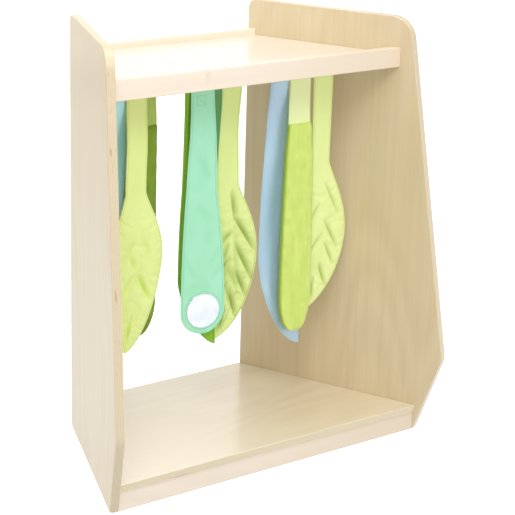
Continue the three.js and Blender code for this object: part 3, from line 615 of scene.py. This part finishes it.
# Strips. The places across are shares of half the clear width at the rail, and the drops are
# shares of the height from the rail's axis to the bottom board. strap, neck and widest have
# the left and the right edge, and drops has the neck, the widest line and the tip. A seam is a
# sewn vein and a fold is soft: each has its two ends and its depth, and a fold's depth and width
# are in metres.
FRONT, REAR = -1, 1
NECK, WIDEST, TIP = 0, 1, 2
leaf = {"swell": 1.15, "close": 1.85}
plain = {"swell": 1.0, "close": 2.0}
pad = {"swell": 0.6, "close": 2.6}
strips = {
    "left_leaf_strip": {
        "kind": leaf, "body": "left_bunch", "finish": "bright_lime",
        "face": FRONT, "lane": -0.03057,
        "strap": (-0.835, -0.688), "neck": (-0.855, -0.705), "widest": (-0.939, -0.577),
        "tip": -0.859, "drops": (0.278, 0.45, 0.725), "close": 1.6,
        "crumple": 0.30, "rim": 0.2, "vein": 0.0078,
        "seams": ((-0.766, 0.514, -0.686, 0.578, 1.0), (-0.826, 0.452, -0.800, 0.491, 0.55),
                  (-0.810, 0.631, -0.849, 0.698, 0.8), (-0.745, 0.40, -0.665, 0.475, 0.25),
                  (-0.790, 0.41, -0.880, 0.48, 0.30), (-0.790, 0.50, -0.885, 0.565, 0.35))},
    "left_plush_pad": {
        "kind": pad, "body": "left_bunch", "finish": "dark_plush",
        "face": REAR, "lane": -0.01557,
        "strap": (-0.776, -0.606), "neck": (-0.777, -0.598), "widest": (-0.856, -0.600),
        "tip": -0.765, "drops": (0.1, 0.58, 0.694), "close": 2.2},
    "left_blue_strip": {
        "kind": plain, "body": "left_bunch", "finish": "teal_blue",
        "face": REAR, "lane": -0.00157,
        "strap": (-0.942, -0.785), "neck": (-0.942, -0.785), "widest": (-0.947, -0.76),
        "tip": -0.835, "drops": (0.06, 0.48, 0.672),
        "folds": ((-0.90, 0.10, -0.88, 0.50, 0.0012, 0.012),
                  (-0.83, 0.20, -0.84, 0.55, -0.0010, 0.010))},
    "middle_mirror_strip": {
        "kind": plain, "body": "middle_bunch", "finish": "mint",
        "face": FRONT, "lane": -0.02757,
        "strap": (-0.357, -0.174), "neck": (-0.373, -0.151), "widest": (-0.397, -0.079),
        "tip": -0.238, "drops": (0.3, None, 0.721),
        "folds": ((-0.300, 0.195, -0.190, 0.285, 0.0026, 0.007),
                  (-0.280, 0.215, -0.170, 0.320, -0.0016, 0.008),
                  (-0.350, 0.06, -0.250, 0.16, -0.0014, 0.010),
                  (-0.330, 0.34, -0.160, 0.40, 0.0012, 0.010),
                  (-0.120, 0.47, -0.200, 0.53, 0.0014, 0.006),
                  (-0.110, 0.53, -0.190, 0.57, 0.0016, 0.005),
                  (-0.370, 0.50, -0.300, 0.56, 0.0012, 0.006),
                  (-0.230, 0.545, -0.160, 0.595, -0.0012, 0.005),
                  (-0.330, 0.575, -0.250, 0.590, 0.0010, 0.005))},
    "middle_dark_green_strip": {
        "kind": plain, "body": "middle_bunch", "finish": "dark_green",
        "face": REAR, "lane": -0.01737,
        "strap": (-0.391, -0.101), "neck": (-0.388, -0.137), "widest": (-0.405, -0.130),
        "tip": -0.128, "drops": (0.3, 0.562, 0.762), "close": 1.5,
        "folds": ((-0.30, 0.20, -0.22, 0.60, 0.0014, 0.014),)},
    "middle_leaf_strip": {
        "kind": leaf, "body": "middle_bunch", "finish": "lime",
        "face": REAR, "lane": -0.00537,
        "strap": (-0.106, 0.051), "neck": (-0.122, 0.047), "widest": (-0.14, 0.184),
        "tip": -0.162, "drops": (0.304, 0.500, 0.758),
        "crumple": 1.0, "rim": 1.0, "vein": 0.0092,
        "seams": ((-0.012, 0.328, 0.008, 0.405, 0.8), (0.008, 0.400, 0.147, 0.495, 1.0),
                  (0.019, 0.480, 0.140, 0.584, 1.0), (0.023, 0.557, 0.095, 0.630, 1.0),
                  (-0.023, 0.615, 0.022, 0.690, 1.0), (-0.010, 0.445, -0.070, 0.470, 0.7),
                  (-0.020, 0.520, -0.110, 0.570, 0.8), (-0.030, 0.590, -0.120, 0.640, 0.7),
                  (-0.029, 0.477, -0.057, 0.529, 0.6), (-0.042, 0.600, -0.018, 0.655, 0.6),
                  (-0.048, 0.670, -0.083, 0.722, 1.0), (0.010, 0.430, 0.034, 0.640, 0.35))},
    "right_plush_pad": {
        "kind": pad, "body": "right_bunch", "finish": "plush",
        "face": FRONT, "lane": -0.03257,
        "strap": (0.433, 0.604), "neck": (0.404, 0.586), "widest": (0.365, 0.630),
        "tip": 0.512, "drops": (0.145, 0.628, 0.768)},
    "right_leaf_strip": {
        "kind": leaf, "body": "right_bunch", "finish": "pale_lime",
        "face": REAR, "lane": -0.01707,
        "strap": (0.642, 0.803), "neck": (0.648, 0.797), "widest": (0.583, 0.962),
        "tip": 0.502, "drops": (0.278, 0.493, 0.733),
        "crumple": 0.20, "rim": 0.3, "vein": 0.0062,
        "seams": ((0.768, 0.346, 0.881, 0.439, 0.6), (0.774, 0.460, 0.880, 0.540, 0.8),
                  (0.782, 0.528, 0.850, 0.591, 0.8), (0.734, 0.588, 0.790, 0.653, 1.0),
                  (0.691, 0.629, 0.684, 0.686, 0.8), (0.715, 0.410, 0.645, 0.455, 0.5),
                  (0.748, 0.500, 0.655, 0.545, 0.6))},
    "right_blue_strip": {
        "kind": plain, "body": "right_bunch", "finish": "blue",
        "face": REAR, "lane": -0.00707,
        "strap": (0.285, 0.432), "neck": (0.282, 0.47), "widest": (0.246, 0.612),
        "tip": 0.612, "drops": (0.17, 0.533, 0.825), "close": 1.65,
        "folds": ((0.37, 0.24, 0.33, 0.58, 0.0026, 0.018),
                  (0.33, 0.05, 0.31, 0.30, -0.0015, 0.012),
                  (0.30, 0.60, 0.45, 0.76, -0.0015, 0.012))},
}


def widest_drop(strip):
    """The drop of the widest line; a round end has it one radius above its tip."""
    if strip["drops"][WIDEST] is not None:
        return strip["drops"][WIDEST]
    radius = CLEAR_HALF * (strip["widest"][1] - strip["widest"][0]) / 2
    return strip["drops"][TIP] - radius / CLEAR_DROP


def edges_at(strip, drop):
    """Left and right edge of a strip at a drop."""
    kind = strip["kind"]
    close = strip.get("close", kind["close"])
    neck_drop, tip_drop = strip["drops"][NECK], strip["drops"][TIP]
    wide_drop = widest_drop(strip)
    found = []
    for side in (0, 1):
        strap, neck, widest = (strip[line][side] for line in ("strap", "neck", "widest"))
        if drop < neck_drop:
            place = mix(strap, neck, smooth_step((drop - TOP_DROP) / (neck_drop - TOP_DROP)))
        elif drop < wide_drop:
            share = (drop - neck_drop) / (wide_drop - neck_drop)
            place = mix(neck, widest, math.sin(math.pi / 2 * share) ** kind["swell"])
        else:
            share = min(1.0, (drop - wide_drop) / (tip_drop - wide_drop))
            place = mix(strip["tip"], widest, (1 - share ** close) ** (1 / close))
        found.append(CLEAR_HALF * place)
    spare = max(0.0, LEAST_WIDTH - (found[1] - found[0])) / 2
    return found[0] - spare, found[1] + spare


def lane_at(strip, height):
    """Where a strip hangs from front to rear: against the loop's tail at first, then its lane."""
    start = HANG_Y + strip["face"] * (TAIL_HALF + STRAP_THICKNESS / 2)
    return mix(start, strip["lane"], smooth_step((STRAP_TOP - height) / SETTLE))


def hung(strip, x, y, z):
    """A point of a strip; the middle bunch turns about an upright line as it hangs down."""
    if strip["body"] != "middle_bunch":
        return Vector((x, y, z))
    angle = TWIST * smooth_step((STRAP_TOP - z) / TWIST_LENGTH)
    side, back = x - TWIST_LINE, y - HANG_Y
    return Vector((TWIST_LINE + side * math.cos(angle) + back * math.sin(angle),
                   HANG_Y - side * math.sin(angle) + back * math.cos(angle), z))


def from_line(line, x, drop):
    """Distance in metres from a line on a strip, how far along it the nearest point is, and
    whether the point is on the line's upper side."""
    start = Vector((line[0] * CLEAR_HALF, line[1] * CLEAR_DROP))
    run = Vector((line[2] * CLEAR_HALF, line[3] * CLEAR_DROP)) - start
    reach = Vector((x, drop * CLEAR_DROP)) - start
    along = min(1.0, max(0.0, reach.dot(run) / run.length_squared))
    above = (run.x * reach.y - run.y * reach.x) * run.x < 0
    return (reach - run * along).length, along, above


def ripple(x, z, seed, pitch):
    return noise.noise(Vector((x / pitch, z / pitch, seed)))


def keep_on_points(piece, name, kind, field, values):
    """Stores a value of its own for every point of a piece."""
    piece.data.attributes.new(name, kind, "POINT")
    piece.data.attributes[name].data.foreach_set(field, values)


def cloth_grid(name, grid, place):
    """A grid whose points go to place(across, down); it keeps each point's own measure on the
    cloth: distance across, distance down and distance from the nearest edge, in metres, and
    how much painted shade its folds get."""
    rows, columns = grid
    deselect()
    bpy.ops.mesh.primitive_grid_add(x_subdivisions=columns, y_subdivisions=rows, size=2)
    piece = bpy.context.object
    piece.name = name
    piece.data.name = name
    full = piece.vertex_groups.new(name="fullness")
    sewn = piece.vertex_groups.new(name="sewn")
    measures, folds = [], []
    for vertex in piece.data.vertices:
        across, down = vertex.co.x, (1 - vertex.co.y) / 2
        point, measure, fold, fullness, held = place(across, down)
        measures.extend(measure)
        folds.append(fold)
        full.add([vertex.index], max(0.0, min(1.0, fullness)), "REPLACE")
        sewn.add([vertex.index], max(0.0, min(1.0, held)), "REPLACE")
        vertex.co = point
    keep_on_points(piece, "cloth", "FLOAT_VECTOR", "vector", measures)
    # The painted shade of each point's folds, grooves and rim, for the cloth finishes
    keep_on_points(piece, "fold", "FLOAT", "value", folds)
    piece.data.update()
    return piece


def apply_modifiers(piece):
    take(piece)
    for modifier in list(piece.modifiers):
        bpy.ops.object.modifier_apply(modifier=modifier.name)


def thicken(piece, thickness, flat_share):
    """Gives a sheet its thickness, as full as its fullness says."""
    solid = piece.modifiers.new("thickness", "SOLIDIFY")
    solid.thickness = thickness
    solid.offset = 0
    solid.vertex_group = "fullness"
    solid.thickness_vertex_group = flat_share
    solid.use_even_offset = False
    apply_modifiers(piece)


def round_off(piece):
    rounding = piece.modifiers.new("rounding", "SUBSURF")
    rounding.levels = 1
    rounding.render_levels = 1
    apply_modifiers(piece)
    take(piece)
    bpy.ops.object.shade_smooth_by_angle(angle=SHARPEST_ANGLE)


def fill(piece, cap):
    """Fills a closed cover by cloth simulation. Its sewn lines and edges stay where they are, and
    no point moves further than the cap."""
    before = [vertex.co.copy() for vertex in piece.data.vertices]
    take(piece)
    cloth = piece.modifiers.new("filling", "CLOTH")
    settings = cloth.settings
    settings.quality = 5
    settings.mass = 0.2
    settings.use_pressure = True
    settings.uniform_pressure_force = FILL_PRESSURE
    settings.vertex_group_mass = "sewn"
    settings.shrink_min = -FILL_GROWTH
    settings.effector_weights.gravity = 0
    cloth.collision_settings.use_collision = False
    cloth.point_cache.frame_start = 1
    cloth.point_cache.frame_end = FILL_FRAMES
    for step in range(1, FILL_FRAMES + 1):
        scene.frame_set(step)
    apply_modifiers(piece)
    scene.frame_set(1)
    for vertex, place in zip(piece.data.vertices, before):
        move = vertex.co - place
        if move.length > 1e-6:
            vertex.co = place + move * (cap * math.tanh(move.length / cap) / move.length)
    piece.data.update()


def strip_place(strip, from_drop, to_drop, crown, crowding=0.0):
    """The surface of a strip between two drops; crown gives its fullness, how far it is sewn
    down, the painted shade of its folds and its swing out of its lane at a point. Crowding
    draws the grid's lines towards the edges."""
    neck_drop, tip_drop = strip["drops"][NECK], strip["drops"][TIP]

    def place(across, down):
        across = mix(across, math.sin(math.pi / 2 * across), crowding)
        share = math.sin(math.pi / 2 * down) ** 0.9 if to_drop == tip_drop else down
        drop = mix(from_drop, to_drop, share)
        left, right = edges_at(strip, drop)
        half = (right - left) / 2
        height = HANG_HEIGHT - CLEAR_DROP * drop
        x = (left + right) / 2 + half * across
        body = (drop - neck_drop) / (tip_drop - neck_drop)
        fullness, held, crease_shade, swing = crown(across, body, half, x, drop)
        edge = half * (1 - abs(across))
        tip_edge = (tip_drop - drop) * CLEAR_DROP
        measure = (half * across, drop * CLEAR_DROP, min(edge, tip_edge + TIP_HEM))
        point = hung(strip, x, lane_at(strip, height) + swing, height)
        return point, measure, crease_shade, fullness, held
    return place


def leaf_strip(name, strip, seed):
    """A filled leaf: sewn veins, a stitched rim, and crumpled cloth towards its tip, with
    painted shade in its veins, creases and rim.
    """
    def crown(across, body, half, x, drop):
        if body <= 0:
            soft = 0.25 * ripple(x, drop, seed, STRAP_SWAY_PITCH)
            return 0.30, 1.0, 0.0, STRAP_SWAY * soft
        open_end = smooth_step(body * 4) * smooth_step((1 - body) * 7)
        puff = (1 - across * across) ** 0.7 * open_end
        groove = 0.0
        for *line, sewn_depth in strip["seams"]:
            off, along, above = from_line(line, x, drop)
            depth = sewn_depth * math.sin(math.pi * (0.10 + 0.80 * along)) ** 0.7
            width = strip["vein"] if above else VEIN_UNDERSIDE
            groove = max(groove, depth * math.exp(-(off / width) ** 2))
        low = strip["crumple"] * smooth_step(body * 1.6 - 0.25)
        low *= 1 if across < 0 else mix(1, 0.35, across)
        crease = max(0.0, 1 - 6.0 * abs(ripple(x, drop * 0.5, seed + 7, CRUMPLE_PITCH)))
        groove = max(groove, 0.62 * low * crease * puff)
        rib = 0.22 * math.exp(-(across * half / MIDRIB_WIDTH) ** 2)
        edge = half * (1 - abs(across))
        rim = strip["rim"] * math.exp(-((edge - RIM_INSET) / RIM_WIDTH) ** 2)
        rim = rim * open_end * smooth_step(body * 3 - 1)
        pucker = 0.10 * ripple(x, drop * 0.7, seed, PUCKER_PITCH)
        fullness = 0.28 + 0.72 * puff * (1 - 0.92 * max(groove, rib)) + pucker * puff
        fullness += rim * (0.10 if edge < RIM_EDGE else -0.08)
        at_edge = 1 - smooth_step((1 - abs(across)) * 6)
        held = max(smooth_step(groove * 1.4), at_edge, 1 - open_end)
        facet = FACET_DEPTH * low * puff * ripple(x, drop * 0.6, seed + 3, FACET_PITCH)
        # Painted shade in the sewn veins, the crumpled creases and the rim's groove
        crease_shade = min(1.0, groove + 0.55 * rim)
        return fullness, held, crease_shade, VEIN_SINK * groove * puff + facet

    place = strip_place(strip, TOP_DROP, strip["drops"][TIP], crown, crowding=0.5)
    piece = cloth_grid(name + "_cloth", LEAF_GRID, place)
    thicken(piece, LEAF_THICKNESS, LEAF_FLAT_SHARE)
    fill(piece, LEAF_CAP)
    round_off(piece)
    return piece


def plain_strip(name, strip, seed):
    """A flat strip of two layers of cotton, which sways a little and has soft folds, with
    painted shade in those that sink towards the rear.
    """
    def crown(across, body, half, x, drop):
        soft = ripple(x * 1.6, drop * 0.4, seed, STRIP_SWAY_PITCH)
        loose = smooth_step((drop - TOP_DROP) * 12)
        swing, crease_shade = STRIP_SWAY * soft * loose, 0.0
        for *line, fold_depth, width in strip["folds"]:
            off, along, _ = from_line(line, x, drop)
            bend = math.exp(-(off / width) ** 2) * math.sin(math.pi * (0.04 + 0.92 * along))
            swing += fold_depth * bend * loose
            # Folds that sink towards the rear get painted shade, the deeper the darker
            crease_shade += max(0.0, fold_depth) / FOLD_SHADE_DEPTH * bend
        return 1.0, 1.0, min(0.6, crease_shade), swing

    place = strip_place(strip, TOP_DROP, strip["drops"][TIP], crown)
    piece = cloth_grid(name + "_cloth", STRIP_GRID, place)
    thicken(piece, COTTON_THICKNESS, 1.0)
    round_off(piece)
    return piece


def plush_pad(name, strip, seed):
    """A stuffed pad with round edges and slight dents."""
    def crown(across, body, half, x, drop):
        ends = max(0.0, math.sin(math.pi * min(1.0, max(0.0, body)))) ** 0.25
        round_over = (1 - abs(across) ** 4.5) ** 0.5
        dent = 0.05 * ripple(x, drop, seed, DENT_PITCH)
        held = 1 - smooth_step((1 - abs(across)) * 10)
        return 0.27 + (0.68 + dent) * ends * round_over, held, 0.0, 0.0

    place = strip_place(strip, strip["drops"][NECK], strip["drops"][TIP], crown)
    piece = cloth_grid(name + "_cloth", PAD_GRID, place)
    thicken(piece, PAD_THICKNESS, PAD_FLAT_SHARE)
    fill(piece, PAD_CAP)
    round_off(piece)
    return piece


def strap(name, strip):
    """The webbing strap that carries a pad, with its end tucked into the pad."""
    def crown(across, body, half, x, drop):
        return 1.0, 1.0, 0.0, 0.0

    place = strip_place(strip, TOP_DROP, strip["drops"][NECK] + STRAP_TUCK, crown)
    piece = cloth_grid(name + "_webbing", STRAP_GRID, place)
    thicken(piece, STRAP_THICKNESS, 1.0)
    round_off(piece)
    return piece


def finish_piece(piece, material, body, slot, *replaced):
    piece.data.materials.clear()
    piece.data.materials.append(finishes[material])
    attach(piece, body)
    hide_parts(*replaced)


def select_lowest(piece):
    """Selects the lowest points of a piece in object mode and gives their height."""
    lowest = min(vertex.co.z for vertex in piece.data.vertices)
    for vertex in piece.data.vertices:
        vertex.select = vertex.co.z < lowest + SAME_HEIGHT
    return lowest


def hanger_loop(bunch, body):
    """A webbing band round the rail, with its two ends sewn together below it."""
    members = [strip for strip in strips.values() if strip["body"] == body]
    left = CLEAR_HALF * min(strip["strap"][0] for strip in members) - LOOP_SPARE
    right = CLEAR_HALF * max(strip["strap"][1] for strip in members) + LOOP_SPARE
    deselect()
    bpy.ops.mesh.primitive_circle_add(vertices=LOOP_POINTS, radius=LOOP_RADIUS,
                                      location=(left, HANG_Y, HANG_HEIGHT),
                                      rotation=(0, QUARTER, 0))
    piece = bpy.context.object
    piece.name = bunch + "_loop_band"
    bpy.ops.object.transform_apply(location=True, rotation=True, scale=True)

    # The circle opens at its lowest point, and its two ends go down to the foot of the tail
    bpy.ops.object.mode_set(mode="EDIT")
    bpy.ops.mesh.select_all(action="DESELECT")
    bpy.ops.object.mode_set(mode="OBJECT")
    select_lowest(piece)
    bpy.ops.object.mode_set(mode="EDIT")
    bpy.ops.mesh.delete(type="VERT")
    bpy.ops.object.mode_set(mode="OBJECT")
    lowest = select_lowest(piece)
    bpy.ops.object.mode_set(mode="EDIT")
    bpy.ops.mesh.extrude_vertices_move(TRANSFORM_OT_translate={"value": (0, 0, -TAIL_START)})
    bpy.ops.transform.resize(value=(1, TAIL_CLOSE_SHARE, 1),
                             center_override=(left, HANG_Y, HANG_HEIGHT))
    row = (HANG_HEIGHT - LOOP_FOOT - (lowest - TAIL_START)) / TAIL_ROWS
    for _ in range(TAIL_ROWS):
        bpy.ops.mesh.extrude_vertices_move(TRANSFORM_OT_translate={"value": (0, 0, row)})

    # The open outline is drawn out along the rail
    bpy.ops.mesh.select_all(action="SELECT")
    pace = (right - left) / LOOP_COLUMNS
    for _ in range(LOOP_COLUMNS):
        bpy.ops.mesh.extrude_edges_move(TRANSFORM_OT_translate={"value": (pace, 0, 0)})
    bpy.ops.mesh.select_all(action="SELECT")
    bpy.ops.mesh.normals_make_consistent(inside=False)
    bpy.ops.object.mode_set(mode="OBJECT")

    middle = (left + right) / 2
    measures = []
    for vertex in piece.data.vertices:
        x, y, z = vertex.co.x, vertex.co.y - HANG_Y, vertex.co.z - HANG_HEIGHT
        on_rail = z > -LOOP_RADIUS
        down = LOOP_RADIUS * abs(math.atan2(y, -z)) if on_rail else z + LOOP_RADIUS
        edge = min(x - left, right - x, z + LOOP_FOOT)
        measures.extend((x - middle, down, edge))
    keep_on_points(piece, "cloth", "FLOAT_VECTOR", "vector", measures)
    solid = piece.modifiers.new("thickness", "SOLIDIFY")
    solid.thickness = LOOP_THICKNESS
    solid.offset = 0
    apply_modifiers(piece)
    round_off(piece)
    finish_piece(piece, "webbing", body, "webbing", f"{bunch}_hanger_loop")
    return piece


slots = {"lime": "lime_cloth", "pale_lime": "lime_cloth", "bright_lime": "lime_cloth",
         "blue": "blue_cloth", "teal_blue": "blue_cloth", "dark_green": "dark_green_cloth",
         "mint": "mint_cloth", "plush": "plush_cloth", "dark_plush": "plush_cloth"}
loops = {f"{bunch}_bunch": hanger_loop(bunch, f"{bunch}_bunch")
         for bunch in ("left", "middle", "right")}
for number, (name, strip) in enumerate(strips.items()):
    if strip["kind"] is leaf:
        piece = leaf_strip(name, strip, seed=number * 3.7)
    elif strip["kind"] is plain:
        piece = plain_strip(name, strip, seed=number * 2.3)
    else:
        piece = plush_pad(name, strip, seed=number * 5.1)
        strap_name = name.replace("_pad", "_strap")
        band = strap(strap_name, strip)
        # The left pad and its strap take the darker copies: painted shade
        band_finish = "shaded_webbing" if strip["finish"] == "dark_plush" else "webbing"
        finish_piece(band, band_finish, strip["body"], "webbing", strap_name)
    finish_piece(piece, strip["finish"], strip["body"], slots[strip["finish"]], name)


# Floor, light and camera
FLOOR_SIZE = 30
BACKDROP_RADIUS = 14
BACKDROP_HEIGHT = 16
BACKDROP_MIDDLE = 7.9
FLOOR_GREY = 0.6
SKY_STRENGTH = 0.62
AIM = (0, 0, 0.45)
CAMERA_PLACE = (-2.04327, -2.78764, 1.48112)
CAMERA_TURN = (72.7895, -1.5673, -36.8216)
CAMERA_LENS = 121.9
SENSOR_WIDTH = 36
CAMERA_REACH = 60


def stage_floor():
    deselect()
    bpy.ops.mesh.primitive_plane_add(size=FLOOR_SIZE, location=(0, 0, 0))
    floor = bpy.context.object
    floor.name = "floor"
    finish = Finish("studio_floor", 0.9, Emission_Color=(1, 1, 1, 1), Emission_Strength=0.80)
    finish.shader.inputs["Base Color"].default_value = (FLOOR_GREY,) * 3 + (1,)
    floor.data.materials.append(finish.material)
    floor.visible_diffuse = False


def stage_backdrop():
    """A pale wall far off on all sides, seen by the camera alone."""
    deselect()
    bpy.ops.mesh.primitive_cylinder_add(vertices=96, radius=BACKDROP_RADIUS,
                                        depth=BACKDROP_HEIGHT, end_fill_type="NOTHING",
                                        location=(0, 0, BACKDROP_MIDDLE))
    wall = bpy.context.object
    wall.name = "backdrop"
    finish = Finish("studio_backdrop", 0.9, Emission_Color=(1, 1, 1, 1), Emission_Strength=1.0)
    wall.data.materials.append(finish.material)
    wall.visible_diffuse = False
    wall.visible_glossy = False
    wall.visible_shadow = False


def area_light(name, place, aim, size, power):
    deselect()
    bpy.ops.object.light_add(type="AREA", location=place)
    lamp = bpy.context.object
    lamp.name = name
    lamp.data.size = size
    lamp.data.energy = power
    lamp.rotation_euler = (Vector(aim) - Vector(place)).to_track_quat("-Z", "Y").to_euler()


stage_floor()
stage_backdrop()
area_light("key_light", (-1.5, -2.0, 3.05), AIM, size=1.5, power=43)
area_light("front_light", (1.0, -3.2, 1.0), AIM, size=1.6, power=26)
area_light("rear_light", (1.3, 2.9, 1.3), AIM, size=2.4, power=13)
area_light("top_light", (-0.3, 0.1, 3.2), (0, 0, 0), size=1.8, power=30)

world = bpy.data.worlds.new("studio")
world.use_nodes = True
background = world.node_tree.nodes["Background"]
background.inputs["Color"].default_value = (1.0, 1.0, 1.0, 1)
background.inputs["Strength"].default_value = SKY_STRENGTH
scene.world = world
scene.view_settings.view_transform = "Standard"

deselect()
bpy.ops.object.camera_add(location=CAMERA_PLACE)
camera = bpy.context.object
camera.rotation_euler = [math.radians(angle) for angle in CAMERA_TURN]
camera.data.lens = CAMERA_LENS
camera.data.sensor_width = SENSOR_WIDTH
camera.data.clip_end = CAMERA_REACH
scene.camera = camera
